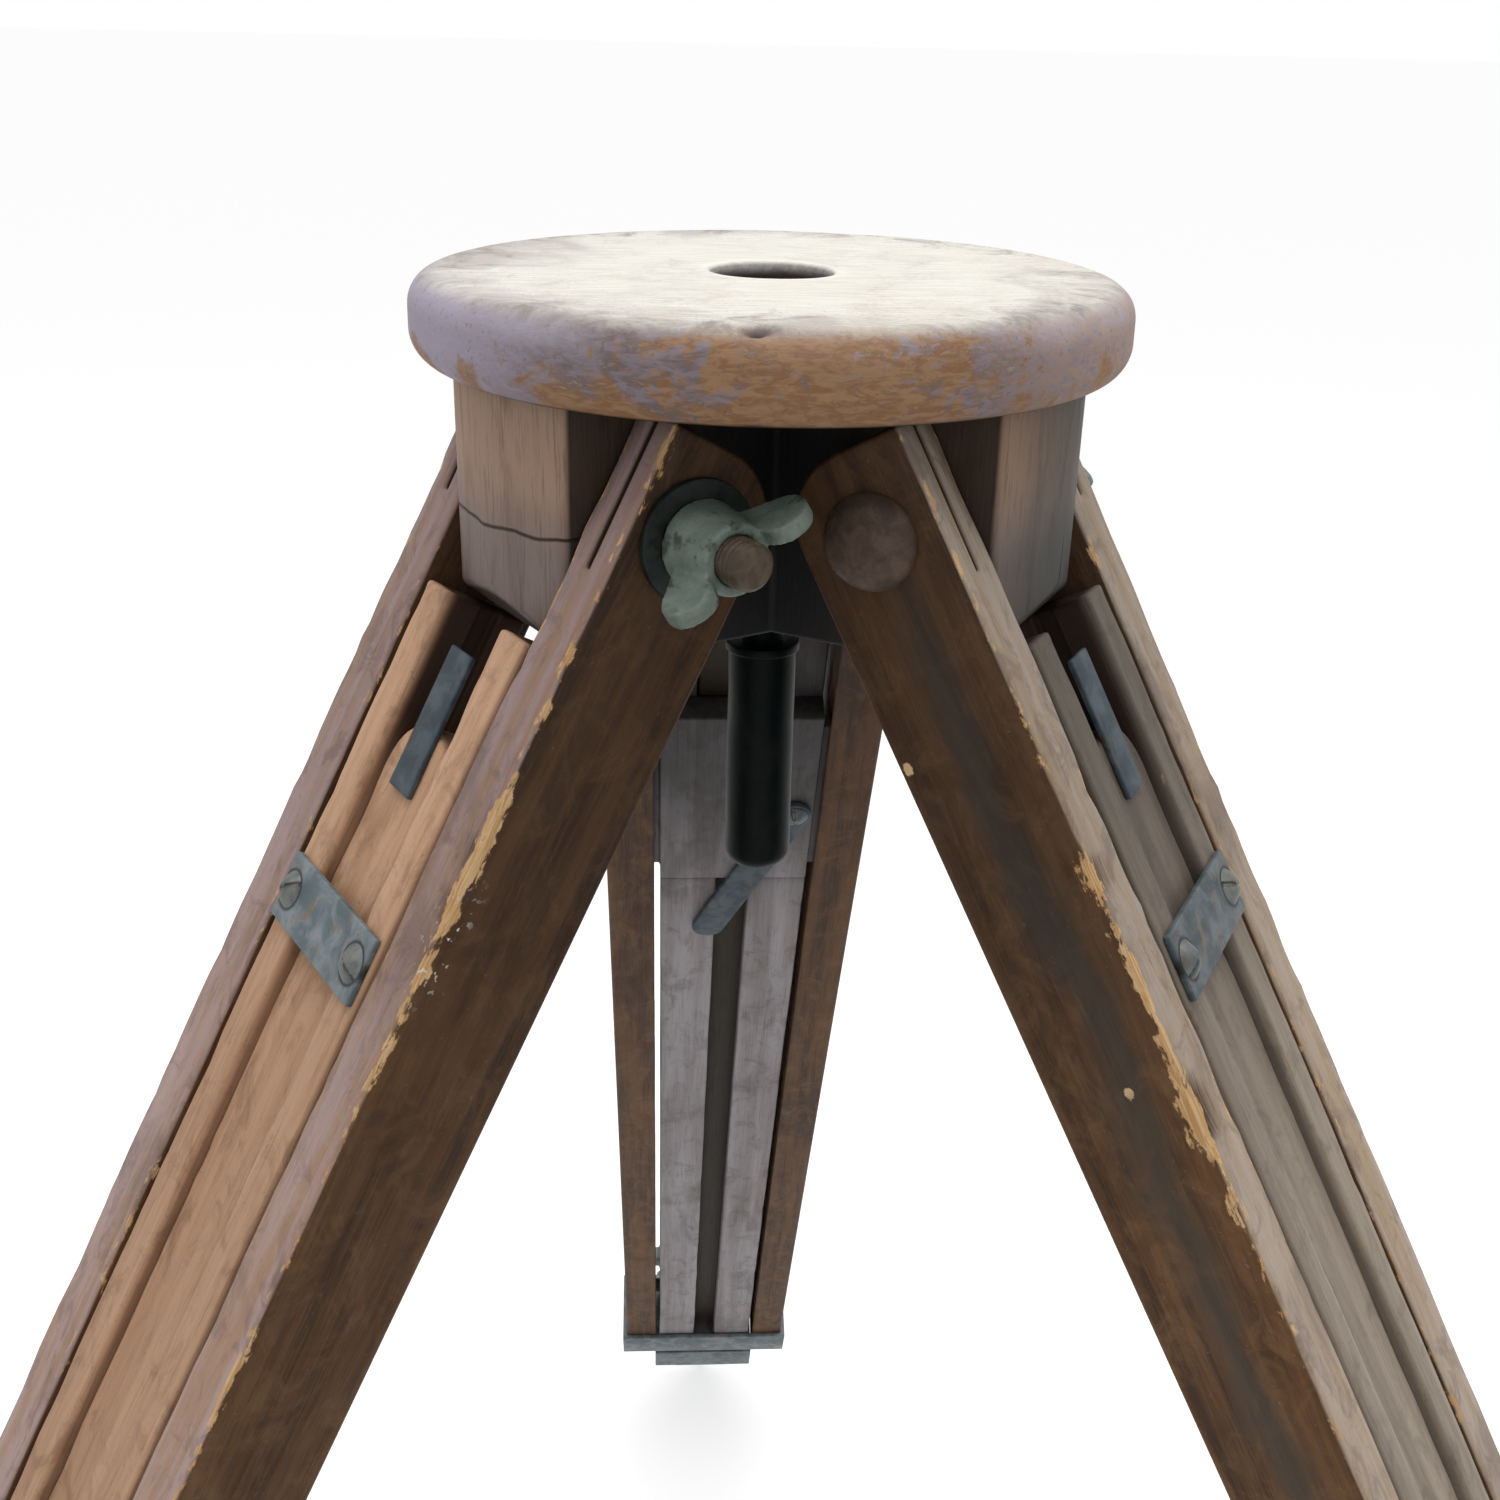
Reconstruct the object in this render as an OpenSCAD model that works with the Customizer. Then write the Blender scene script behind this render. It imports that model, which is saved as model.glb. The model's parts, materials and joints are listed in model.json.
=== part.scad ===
// Wooden field tripod with three sliding wooden legs on a round wooden head.
// Frame: origin at the centre of the head's top face, +Z up, the back leg points along +Y.
// A leg is drawn upright in its own frame: X outwards, Y along the hinge bolt, Z up,
// with the hinge bolt's centre at zero, and is then splayed and turned to its place.

/* [Head] */
// Diameter of the round head
head_d = 203; // [190:1:245]
// Thickness of the round head
head_t = 24; // [20:1:30]
// Radius of the rounded rim, above and below
head_edge_r = 9; // [4:1:10]
// Diameter of the hole in the middle of the head
head_hole_d = 35; // [30:1:44]
// How far the hinge block's outer faces stand in from the rim
block_inset = 11.5; // [6:0.5:16]
// Height of the hinge block under the head
block_h = 71; // [62:1:90]
// Width of each of the hinge block's three arms
block_arm_w = 66; // [54:1:70]
// Radius at the lower outer corner of each arm
block_corner_r = 24; // [12:1:28]

/* [Hinges] */
// How far the hinge bolts stand in from the hinge block's outer faces
hinge_inset = 33; // [30:0.5:36]
// Depth of the hinge bolts below the head's top face
hinge_drop = 57; // [56:0.5:64]
// Angle of the legs from upright when the tripod stands
splay = 29.4; // [20:0.1:35]
// Diameter of the hinge bolts
bolt_d = 12.7; // [9.5:0.1:13]
// Diameter of the hinge bolts' domed heads
bolt_head_d = 26; // [20:1:28]
// Length of bolt that stands out past the rail on the wing nut's side
bolt_end = 28; // [26:1:32]
// Diameter of the washer under the wing nut
washer_d = 33; // [26:1:36]
// Thickness of the washer under the wing nut
washer_t = 2.5; // [1.5:0.5:4]
// Reach of the wing nut's wings from the bolt's centre
wing_reach = 23; // [19:1:25]

/* [Upper leg] */
// Thickness of each rail, measured along the hinge bolt
rail_t = 20; // [16:1:21]
// Depth of each rail, from its inner to its outer face
rail_depth = 40; // [34:1:42]
// Length of the rails below the hinge bolt
rail_len = 860; // [640:10:1000]
// Height of the rails' tops above the hinge bolt
rail_top = 24; // [20:0.5:26]
// Length of the saw cut in each rail's outer face, from the rail's top
kerf_len = 42; // [20:1:60]
// Width of that saw cut
kerf_w = 2.8; // [1.5:0.1:5]
// Gap between an arm of the hinge block and each rail
hinge_gap = 1; // [0.5:0.1:2]

/* [Middle leg] */
// Distance from the hinge bolt down to the tops of the stiles
stile_top = 43; // [42:1:60]
// Gap between a rail and the stile beside it
stile_gap = 2.7; // [1:0.1:4]
// Width of each stile's outer part
stile_face_w = 14; // [10:1:18]
// Width of the slot between the stiles on the leg's inner side
channel_w = 14; // [8:1:24]
// Thickness of the stiles' inner part and of the cross block
inner_t = 11.5; // [8:0.5:14]
// Distance from the hinge bolt down to the top of the cross block
cross_top = 130; // [110:1:150]
// Height of the cross block
cross_h = 111; // [80:1:120]
// How far the cross block's guides reach into the rails
guide_reach = 6; // [3:0.5:8]
// Thickness of the cross block's guides
guide_t = 6; // [4:0.5:8]

/* [Lower leg] */
// Distance from the hinge bolt down to the lower board's top
board_top = 78; // [70:1:100]
// Depth of the lower board's face behind the stiles' faces
board_recess = 4; // [2.5:0.5:6]
// Width of the catch strip on the lower board's top
strip_w = 13; // [8:1:18]
// Height of the catch strip above the lower board's top
strip_rise = 23; // [10:1:25]
// Length of the foot's point
spike_len = 34; // [20:1:60]

/* [Fittings] */
// Distance from the hinge bolt down to the keeper plate's middle
keeper_drop = 141; // [130:1:160]
// Height of the keeper plate
keeper_h = 20; // [14:1:30]
// Thickness of the keeper plate and the swing catch
plate_t = 2.2; // [1.5:0.1:3]
// Diameter of the round-headed screws' heads
screw_head_d = 11; // [7:0.5:13]
// Distance from the hinge bolt down to the swing catch's pivot
catch_drop = 190; // [180:1:210]
// Length of the swing catch between its pivot and its tip
catch_len = 93; // [60:1:96]
// Angle of the swing catch from the leg's line
catch_angle = 21; // [5:1:30]
// Width of the swing catch
catch_w = 14; // [10:1:18]
// Wall thickness of the clamp bands and the foot
band_t = 3; // [2:0.5:4]
// Height of the clamp bands
band_h = 28; // [20:1:34]
// Diameter of the clamp screws
clamp_screw_d = 8; // [6:0.5:10]
// Diameter of the clamp screws' knobs
knob_d = 26; // [20:1:32]

/* [Tie-down screw] */
// Diameter of the tie-down screw's shank
shank_d = 12.7; // [11:0.1:14]
// Diameter of the screw thread that enters the camera
thread_d = 9.5; // [6.3:0.1:9.5]
// Distance of the thread's end below the head's top face
thread_drop = 3; // [1:1:8]
// Gap between the hinge block and the grip
grip_gap = 15; // [13:1:25]
// Length of the grip
grip_len = 76; // [50:1:90]
// Diameter of the grip
grip_d = 21; // [16:1:26]
// Diameter of the lift collar inside the head's hole
collar_d = 28; // [22:1:29]
// Thickness of the lift collar
collar_t = 5; // [3:0.5:8]

/* [Hidden] */
$fn = 72;
LEFT = 210;
RIGHT = 330;
BACK = 90;

run_clear = 0.07;      // clearance of a turning fit, on the radius
slide_clear = 0.5;     // clearance of a sliding wooden fit
body_gap = 0.3;        // gap between pieces that move against each other

head_r = head_d / 2;
block_r = head_r - block_inset;
hinge_r = block_r - hinge_inset;
block_low = head_t + block_h;
arm_half = block_arm_w / 2;
rail_in = arm_half + hinge_gap;
rail_out = rail_in + rail_t;
depth_half = rail_depth / 2;
bolt_r = bolt_d / 2;
bolt_head_h = bolt_head_d * 0.24;
neck_len = 8;
nut_stop = 8;
kerf_depth = 9;
nut_start = rail_out + washer_t + body_gap;
nut_h = bolt_end - washer_t - body_gap - nut_stop;
block_screw_r = 3.5;
block_screw_ring = 27;
block_screw_sink = 12;
block_screw_bite = 14;

stile_out = rail_in - stile_gap;
stile_half = depth_half - slide_clear;
stile_in = stile_out - stile_face_w;
step_x = inner_t - stile_half;
cross_low = cross_top + cross_h;
guide_x = step_x - inner_t / 2;
guide_inset = 8;
groove_start = cross_top - 10;
groove_w = guide_t + 2 * slide_clear;
clamp_gap = 6;
stile_len = rail_len + clamp_gap + band_h;
rail_boss_y = stile_out - stile_face_w / 2;
stile_clamp_top = band_h - stile_len;

board_half = stile_in - slide_clear;
board_face = stile_half - board_recess;
board_back = step_x + slide_clear;
board_mid = (board_face + board_back) / 2;
board_len = stile_len + clamp_gap + band_h;
tongue_t = 6;
tongue_reach = 3.5;
foot_floor = 5;
spike_r = 9;
spike_tip_r = 2;
strip_t = 1.8;
strip_lap = 20;

pin_r = 2.5;
screw_bite = 9;
keeper_half = stile_out - 1;
keeper_screw_y = stile_out - stile_face_w / 2;
catch_y = stile_out - 8;
catch_lift = 0.8;
catch_in = -stile_half - catch_lift;
knob_t = 9;
boss_t = 6;
boss_wall = 5;
clamp_r = clamp_screw_d / 2;
knob_stand = 14;

// Places children in the frame of the leg that points at angle az.
module in_leg(az) {
    rotate([0, 0, az]) translate([hinge_r, 0, -hinge_drop]) rotate([0, -splay, 0]) children();
}

// Box between two corners.
module box(low, high) {
    translate(low) cube(high - low);
}

// Cylinder along Y from y0 to y1, through x and z.
module rod_y(r, y0, y1, x = 0, z = 0) {
    translate([x, y0, z]) rotate([-90, 0, 0]) cylinder(h = y1 - y0, r = r);
}

// Cylinder along X from x0 to x1, through y and z.
module rod_x(r, x0, x1, y = 0, z = 0) {
    translate([x0, y, z]) rotate([0, 90, 0]) cylinder(h = x1 - x0, r = r);
}

// Mirrors children to the -Y side when side is -1.
module on_side(side) {
    mirror([0, side < 0 ? 1 : 0, 0]) children();
}

// ---- Head ----

module head_disc() {
    color("burlywood") difference() {
        rotate_extrude($fn = 144) head_profile();
        translate([0, 0, -head_t - 1]) cylinder(h = head_t + 2, r = head_hole_d / 2);
        at_block_screws(block_screw_r, block_h + block_screw_bite);
    }
}

// Half section of the head without its hole.
module head_profile() {
    edge_x = head_r - head_edge_r;
    translate([0, -head_t]) square([edge_x, head_t]);
    translate([0, -head_t + head_edge_r]) square([head_r, head_t - 2 * head_edge_r]);
    intersection() {
        union() {
            translate([edge_x, -head_edge_r]) circle(head_edge_r);
            translate([edge_x, head_edge_r - head_t]) circle(head_edge_r);
        }
        translate([0, -head_t]) square([head_r, head_t]);
    }
}

// Point x along and y across an arm that points at angle az.
function arm_point(az, x, y) = [x * cos(az) - y * sin(az), x * sin(az) + y * cos(az)];

// Outline of the three arms from above, out to a square end past the block's round face.
module arms_outline() {
    reach = block_r + 1;
    polygon([for (az = [BACK, LEFT, RIGHT]) each [
        arm_point(az, reach, -arm_half), arm_point(az, reach, arm_half),
        arm_point(az + 60, arm_half / sin(60), 0)]]);
}

// What is cut away to round the lower outer corner of the arm along X.
module corner_cut() {
    corner_x = block_r + 1 - block_corner_r;
    corner_z = block_corner_r - block_low;
    difference() {
        box([corner_x, -arm_half - 1, -block_low - 1], [block_r + 2, arm_half + 1, corner_z]);
        rod_y(block_corner_r, -arm_half - 2, arm_half + 2, corner_x, corner_z);
    }
}

module hinge_block() {
    color("peru") difference() {
        intersection() {
            translate([0, 0, -block_low]) linear_extrude(height = block_h) arms_outline();
            translate([0, 0, -block_low - 1]) cylinder(h = block_h + 2, r = block_r, $fn = 144);
        }
        for (az = [LEFT, RIGHT, BACK])
            rotate([0, 0, az]) {
                corner_cut();
                rod_y(bolt_r + run_clear, -arm_half - 1, arm_half + 1, hinge_r, -hinge_drop);
            }
        translate([0, 0, -block_low - 1]) cylinder(h = block_h + 2, r = shank_d / 2 + run_clear);
        at_block_screws(block_screw_r, block_h + 1);
        at_block_screws(block_screw_r * 2, block_screw_sink);
    }
}

// Three upright cylinders from the block's underside, between the arms.
module at_block_screws(r, h) {
    for (az = [LEFT, RIGHT, BACK])
        rotate([0, 0, az + 60]) translate([block_screw_ring, 0, -block_low - 0.01])
            cylinder(h = h, r = r);
}

// Round-headed wood screws, sunk into the block and biting into the head.
module block_screws() {
    head_h = 5;
    color("dimgray") for (az = [LEFT, RIGHT, BACK])
        rotate([0, 0, az + 60]) translate([block_screw_ring, 0, 0]) {
            translate([0, 0, block_screw_sink - block_low - head_h])
                cylinder(h = head_h, r = block_screw_r * 1.8);
            translate([0, 0, block_screw_sink - block_low])
                cylinder(h = block_h - block_screw_sink + block_screw_bite, r = block_screw_r);
        }
}

// ---- Tie-down screw ----

module lift_collar() {
    color("dimgray") translate([0, 0, -head_t]) difference() {
        cylinder(h = collar_t, r = collar_d / 2);
        translate([0, 0, -1]) cylinder(h = collar_t + 2, r = shank_d / 2 + run_clear);
    }
}

module tie_down_screw() {
    shank_end = -head_t + collar_t + body_gap;
    grip_start = -block_low - grip_gap;
    color("black") {
        translate([0, 0, grip_start]) cylinder(h = shank_end - grip_start, r = shank_d / 2);
        translate([0, 0, shank_end]) cylinder(h = 1.5, r = shank_d / 2 + 2);
        translate([0, 0, shank_end]) cylinder(h = -thread_drop - shank_end, r = thread_d / 2);
    }
}

module screw_grip() {
    lip_h = 3;
    end_r = 5;
    r = grip_d / 2;
    color("black") translate([0, 0, -block_low - grip_gap]) rotate_extrude() union() {
        translate([0, -lip_h]) square([r + 1, lip_h]);
        translate([0, end_r - grip_len]) square([r, grip_len - end_r]);
        translate([0, -grip_len]) square([r - end_r, grip_len]);
        translate([r - end_r, end_r - grip_len]) circle(end_r);
    }
}

// ---- Upper leg: two rails on the hinge bolt ----

// Side view of a rail: square at the outer top corner and round at the inner one.
module rail_outline() {
    round_z = rail_top - depth_half;
    translate([-depth_half, -rail_len]) square([rail_depth, rail_len + round_z]);
    translate([0, round_z]) circle(depth_half);
    translate([0, -rail_len]) square([depth_half, rail_len + rail_top]);
}

// Rail on side -1, which takes the bolt's head, or on side 1, which takes the wing nut.
module rail(az, side) {
    kerf_y = (rail_in + rail_out) / 2;
    neck = bolt_r + 0.1;
    color(side < 0 ? "saddlebrown" : "sienna") in_leg(az) on_side(side) difference() {
        translate([0, rail_out, 0]) rotate([90, 0, 0])
            linear_extrude(height = rail_t) rail_outline();
        rod_y(bolt_r + 0.05, rail_in - 1, rail_out + 1);
        if (side < 0)
            box([-neck, rail_out - neck_len - 1, -neck], [neck, rail_out + 1, neck]);
        box([depth_half - kerf_depth, kerf_y - kerf_w / 2, rail_top - kerf_len],
            [depth_half + 1, kerf_y + kerf_w / 2, rail_top + 1]);
        box([guide_x - groove_w / 2, rail_in - 1, band_h - rail_len],
            [guide_x + groove_w / 2, rail_in + guide_reach + slide_clear, -groove_start]);
    }
}

// Carriage bolt: domed head and square neck on side -1, plain end past the wing nut.
module hinge_bolt(az) {
    dome_r = (pow(bolt_head_d / 2, 2) + pow(bolt_head_h, 2)) / (2 * bolt_head_h);
    color("dimgray") in_leg(az) {
        rod_y(bolt_r, -rail_out, rail_out + bolt_end);
        box([-bolt_r, -rail_out, -bolt_r], [bolt_r, neck_len - rail_out, bolt_r]);
        intersection() {
            translate([0, dome_r - bolt_head_h - rail_out, 0]) rotate([90, 0, 0])
                sphere(dome_r, $fn = 96);
            rod_y(bolt_head_d / 2, -rail_out - bolt_head_h, -rail_out);
        }
    }
}

module hinge_washer(az) {
    color("darkslategray") in_leg(az) difference() {
        rod_y(washer_d / 2, rail_out, rail_out + washer_t);
        rod_y(bolt_r + 0.2, rail_out - 1, rail_out + washer_t + 1);
    }
}

// One wing in the plane of the bolt: a round lobe on a web, leaning away from the rail.
module wing_outline() {
    lobe_r = 7;
    lobe_x = wing_reach - lobe_r;
    translate([lobe_x, nut_h]) circle(lobe_r);
    polygon([[bolt_r + 1, 1], [wing_reach - 2, nut_h - 5], [lobe_x, nut_h + lobe_r - 0.5],
             [bolt_r + 1, nut_h - 3]]);
}

module wing_nut(az) {
    wing_t = 5;
    wing_turn = 62;
    color("slategray") in_leg(az) difference() {
        translate([0, nut_start, 0]) rotate([-90, 0, 0]) union() {
            cylinder(h = nut_h, r1 = bolt_r + 5.5, r2 = bolt_r + 3);
            for (turn = [0, 180])
                rotate([0, 0, wing_turn + turn]) rotate([90, 0, 0])
                    linear_extrude(height = wing_t, center = true) wing_outline();
        }
        rod_y(bolt_r + run_clear, nut_start - 1, rail_out + bolt_end + 1);
    }
}

// Rectangular band with a threaded boss on its outer face.
module clamp_band(half_x, half_y, top, boss_y) {
    low = top - band_h;
    difference() {
        union() {
            box([-half_x - band_t, -half_y - band_t, low], [half_x + band_t, half_y + band_t, top]);
            rod_x(clamp_r + boss_wall, half_x, half_x + band_t + boss_t, boss_y, low + band_h / 2);
        }
        box([-half_x, -half_y, low - 1], [half_x, half_y, top + 1]);
        rod_x(clamp_r + run_clear, half_x - 1, half_x + band_t + boss_t + 1, boss_y,
              low + band_h / 2);
    }
}

// Clamp screw with a fluted knob, its end a small gap from the face it presses on.
module clamp_knob(face_x, half_x, top, boss_y) {
    start = half_x + band_t + knob_stand;
    flutes = 8;
    z = top - band_h / 2;
    rod_x(clamp_r, face_x + body_gap, start, boss_y, z);
    difference() {
        rod_x(knob_d / 2, start, start + knob_t, boss_y, z);
        for (i = [0 : flutes - 1])
            rod_x(2, start - 1, start + knob_t + 1,
                  boss_y + knob_d / 2 * cos(i * 360 / flutes),
                  z + knob_d / 2 * sin(i * 360 / flutes));
    }
}

module rail_clamp(az) {
    color("slategray") in_leg(az)
        clamp_band(depth_half, rail_out, band_h - rail_len, rail_boss_y);
}

module rail_clamp_knob(az) {
    color("dimgray") in_leg(az)
        clamp_knob(stile_half, depth_half, band_h - rail_len, rail_boss_y);
}

// ---- Middle leg: two stiles, the cross block and the outer and inner fittings ----

module stile(az, side) {
    color("chocolate") in_leg(az) on_side(side) difference() {
        union() {
            box([step_x, stile_in, -stile_len], [stile_half, stile_out, -stile_top]);
            box([-stile_half, channel_w / 2, -stile_len], [step_x, stile_out, -cross_low]);
        }
        box([board_mid - tongue_t / 2 - slide_clear, stile_in - 1, -stile_len - 1],
            [board_mid + tongue_t / 2 + slide_clear, stile_in + tongue_reach, -stile_top + 1]);
        rod_x(pin_r, stile_half - screw_bite, stile_half + 1, keeper_screw_y, -keeper_drop);
    }
}

module cross_block(az) {
    guide_y = rail_in + guide_reach;
    color("tan") in_leg(az) difference() {
        union() {
            box([-stile_half, -stile_out, -cross_low], [step_x, stile_out, -cross_top]);
            box([guide_x - guide_t / 2, -guide_y, guide_inset - cross_low],
                [guide_x + guide_t / 2, guide_y, -cross_top - guide_inset]);
        }
        rod_x(pin_r, -stile_half - 1, screw_bite - stile_half, -catch_y, -catch_drop);
    }
}

module keeper_plate(az) {
    color("slategray") in_leg(az) difference() {
        box([stile_half, -keeper_half, -keeper_drop - keeper_h / 2],
            [stile_half + plate_t, keeper_half, keeper_h / 2 - keeper_drop]);
        for (side = [-1, 1])
            rod_x(pin_r + run_clear, stile_half - 1, stile_half + plate_t + 1,
                  side * keeper_screw_y, -keeper_drop);
    }
}

// Round-headed screw with its head's flat at face_x, pointing inwards when dir is 1.
module round_screw(face_x, dir, depth, y, z) {
    head_h = 3;
    head_r = screw_head_d / 2;
    dome_r = (head_r * head_r + head_h * head_h) / (2 * head_h);
    translate([face_x, y, z]) rotate([0, dir * 90, 0]) {
        translate([0, 0, -depth]) cylinder(h = depth, r = pin_r);
        intersection() {
            translate([0, 0, head_h - dome_r]) sphere(dome_r);
            cylinder(h = head_h, r = head_r);
        }
    }
}

// Two screws that hold the keeper plate, and the screw that the swing catch turns on.
module screws(az) {
    color("darkgoldenrod") in_leg(az) {
        for (side = [-1, 1])
            round_screw(stile_half + plate_t, 1, plate_t + screw_bite,
                        side * keeper_screw_y, -keeper_drop);
        round_screw(catch_in - plate_t - body_gap, -1,
                    catch_lift + plate_t + body_gap + screw_bite, -catch_y, -catch_drop);
    }
}

module swing_catch(az) {
    r = catch_w / 2;
    color("lightslategray") in_leg(az) translate([0, -catch_y, -catch_drop])
        rotate([catch_angle, 0, 0]) difference() {
            union() {
                rod_x(r, catch_in - plate_t, catch_in);
                rod_x(r, catch_in - plate_t, catch_in, 0, -catch_len);
                box([catch_in - plate_t, -r, -catch_len], [catch_in, r, 0]);
            }
            rod_x(pin_r + run_clear, catch_in - plate_t - 1, catch_in + 1);
        }
}

module stile_clamp(az) {
    color("slategray") in_leg(az) clamp_band(stile_half, stile_out, stile_clamp_top, 0);
}

module stile_clamp_knob(az) {
    color("dimgray") in_leg(az) clamp_knob(board_face, stile_half, stile_clamp_top, 0);
}

// ---- Lower leg: the sliding board, its catch strip and its foot ----

module lower_board(az) {
    round_z = -board_top - board_half;
    tongue_y = board_half + tongue_reach;
    color("darkorange") in_leg(az) {
        box([board_back, -board_half, -board_len], [board_face, board_half, round_z]);
        rod_x(board_half, board_back, board_face, 0, round_z);
        box([board_mid - tongue_t / 2, -tongue_y, -stile_len],
            [board_mid + tongue_t / 2, tongue_y, round_z]);
    }
}

module catch_strip(az) {
    color("lightslategray") in_leg(az) {
        box([board_face, -strip_w / 2, -board_top - strip_lap],
            [board_face + strip_t, strip_w / 2, strip_rise - board_top]);
    }
}

module foot(az) {
    top = band_h - board_len;
    low = -board_len - foot_floor;
    color("slategray") in_leg(az) {
        difference() {
            box([board_back - band_t, -board_half - band_t, low],
                [board_face + band_t, board_half + band_t, top]);
            box([board_back, -board_half, -board_len], [board_face, board_half, top + 1]);
        }
        translate([board_mid, 0, low - spike_len]) cylinder(h = spike_len, r1 = spike_tip_r, r2 = spike_r);
    }
}

head_disc();
hinge_block();
block_screws();
lift_collar();
tie_down_screw();
screw_grip();
rail(LEFT, -1);  // left_rail_a
rail(LEFT, 1);  // left_rail_b
hinge_bolt(LEFT);  // left_hinge_bolt
hinge_washer(LEFT);  // left_hinge_washer
wing_nut(LEFT);  // left_wing_nut
rail_clamp(LEFT);  // left_rail_clamp
rail_clamp_knob(LEFT);  // left_rail_clamp_knob
stile(LEFT, -1);  // left_stile_a
stile(LEFT, 1);  // left_stile_b
cross_block(LEFT);  // left_cross_block
keeper_plate(LEFT);  // left_keeper_plate
screws(LEFT);  // left_screws
swing_catch(LEFT);  // left_swing_catch
stile_clamp(LEFT);  // left_stile_clamp
stile_clamp_knob(LEFT);  // left_stile_clamp_knob
lower_board(LEFT);  // left_lower_board
catch_strip(LEFT);  // left_catch_strip
foot(LEFT);  // left_foot
rail(RIGHT, -1);  // right_rail_a
rail(RIGHT, 1);  // right_rail_b
hinge_bolt(RIGHT);  // right_hinge_bolt
hinge_washer(RIGHT);  // right_hinge_washer
wing_nut(RIGHT);  // right_wing_nut
rail_clamp(RIGHT);  // right_rail_clamp
rail_clamp_knob(RIGHT);  // right_rail_clamp_knob
stile(RIGHT, -1);  // right_stile_a
stile(RIGHT, 1);  // right_stile_b
cross_block(RIGHT);  // right_cross_block
keeper_plate(RIGHT);  // right_keeper_plate
screws(RIGHT);  // right_screws
swing_catch(RIGHT);  // right_swing_catch
stile_clamp(RIGHT);  // right_stile_clamp
stile_clamp_knob(RIGHT);  // right_stile_clamp_knob
lower_board(RIGHT);  // right_lower_board
catch_strip(RIGHT);  // right_catch_strip
foot(RIGHT);  // right_foot
rail(BACK, -1);  // back_rail_a
rail(BACK, 1);  // back_rail_b
hinge_bolt(BACK);  // back_hinge_bolt
hinge_washer(BACK);  // back_hinge_washer
wing_nut(BACK);  // back_wing_nut
rail_clamp(BACK);  // back_rail_clamp
rail_clamp_knob(BACK);  // back_rail_clamp_knob
stile(BACK, -1);  // back_stile_a
stile(BACK, 1);  // back_stile_b
cross_block(BACK);  // back_cross_block
keeper_plate(BACK);  // back_keeper_plate
screws(BACK);  // back_screws
swing_catch(BACK);  // back_swing_catch
stile_clamp(BACK);  // back_stile_clamp
stile_clamp_knob(BACK);  // back_stile_clamp_knob
lower_board(BACK);  // back_lower_board
catch_strip(BACK);  // back_catch_strip
foot(BACK);  // back_foot
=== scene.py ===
import json
import math

import bmesh
import bpy
import numpy as np
from mathutils import Matrix, Vector


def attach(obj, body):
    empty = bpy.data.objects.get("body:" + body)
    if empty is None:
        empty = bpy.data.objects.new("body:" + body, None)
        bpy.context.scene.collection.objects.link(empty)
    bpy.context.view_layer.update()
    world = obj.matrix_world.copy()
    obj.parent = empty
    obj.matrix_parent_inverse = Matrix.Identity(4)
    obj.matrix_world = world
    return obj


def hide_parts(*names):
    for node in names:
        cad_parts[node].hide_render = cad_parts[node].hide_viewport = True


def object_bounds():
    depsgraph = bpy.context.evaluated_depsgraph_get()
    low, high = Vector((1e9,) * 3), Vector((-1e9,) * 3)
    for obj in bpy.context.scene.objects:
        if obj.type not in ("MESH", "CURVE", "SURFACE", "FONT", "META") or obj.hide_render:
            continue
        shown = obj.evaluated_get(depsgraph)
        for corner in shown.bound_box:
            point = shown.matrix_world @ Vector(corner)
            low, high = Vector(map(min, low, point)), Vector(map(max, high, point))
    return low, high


bl_info = {
    "name": "Wooden field tripod",
    "version": (1, 0, 0),
    "blender": (4, 5, 0),
    "location": "View3D > Sidebar > Tripod",
    "description": "Finishes the pieces of a worn wooden field tripod on its fixed frame",
    "category": "Object",
}

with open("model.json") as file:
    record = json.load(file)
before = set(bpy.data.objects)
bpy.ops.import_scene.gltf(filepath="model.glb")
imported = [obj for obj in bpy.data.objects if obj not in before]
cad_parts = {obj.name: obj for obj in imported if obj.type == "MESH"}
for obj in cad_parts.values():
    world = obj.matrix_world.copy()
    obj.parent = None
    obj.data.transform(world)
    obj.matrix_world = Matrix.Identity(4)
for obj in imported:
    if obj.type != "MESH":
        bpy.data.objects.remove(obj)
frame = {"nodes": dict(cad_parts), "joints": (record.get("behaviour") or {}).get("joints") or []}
cad_box = [list(corner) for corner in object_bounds()]

MM = 1000.0
SIDES = ("left", "right", "back")
JOINTS = {joint["name"]: joint for joint in frame["joints"]}

# Sizes of the shapes and of the wear on them, in millimetres unless a line says otherwise.
FAR_DOWN = -270.0        # height on a leg below which the wood needs little detail
BOARD_EDGE = 1.1         # rounding of a board's edges before it is worn
BLOCK_EDGE = 0.8         # rounding of a cross block's edges
WEAR_REACH = 4.5         # how far from a corner line the wood is worn back
BARE_REACH = 9.0         # how far from a corner line bare wood may show
RIM_NOTCH = (-9.0, -95.0)    # where the head's rim is dented, seen from above
STILE_WIDTH = 14.0       # across a stile's outer face
STILE_LIP = 7.0          # the stiles' inner corner on the back
BOARD_HALF = 16.8        # half a lower board's width
SHANK_R = 6.35           # radius of the hinge bolts
HEAD_SEAT = -54.0        # where a bolt's dome ends against the rail
THREAD_START = 55.0      # where a hinge bolt's thread starts
KEEPER_SCREW = 24.3      # how far a keeper plate's screws stand from its middle
CAST_GRAIN = 0.00055     # metres: cell of the wing nuts' rounded surface
CAMERA_PITCH = 1.59      # pitch of the tie-down screw's thread
SOFT_ANGLE = 32.0        # degrees: edges that turn more are rounded, and stay sharp
TURNED_ANGLE = 50.0      # degrees: the same for turned pieces


# ---- Frames and arrays ----

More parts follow.
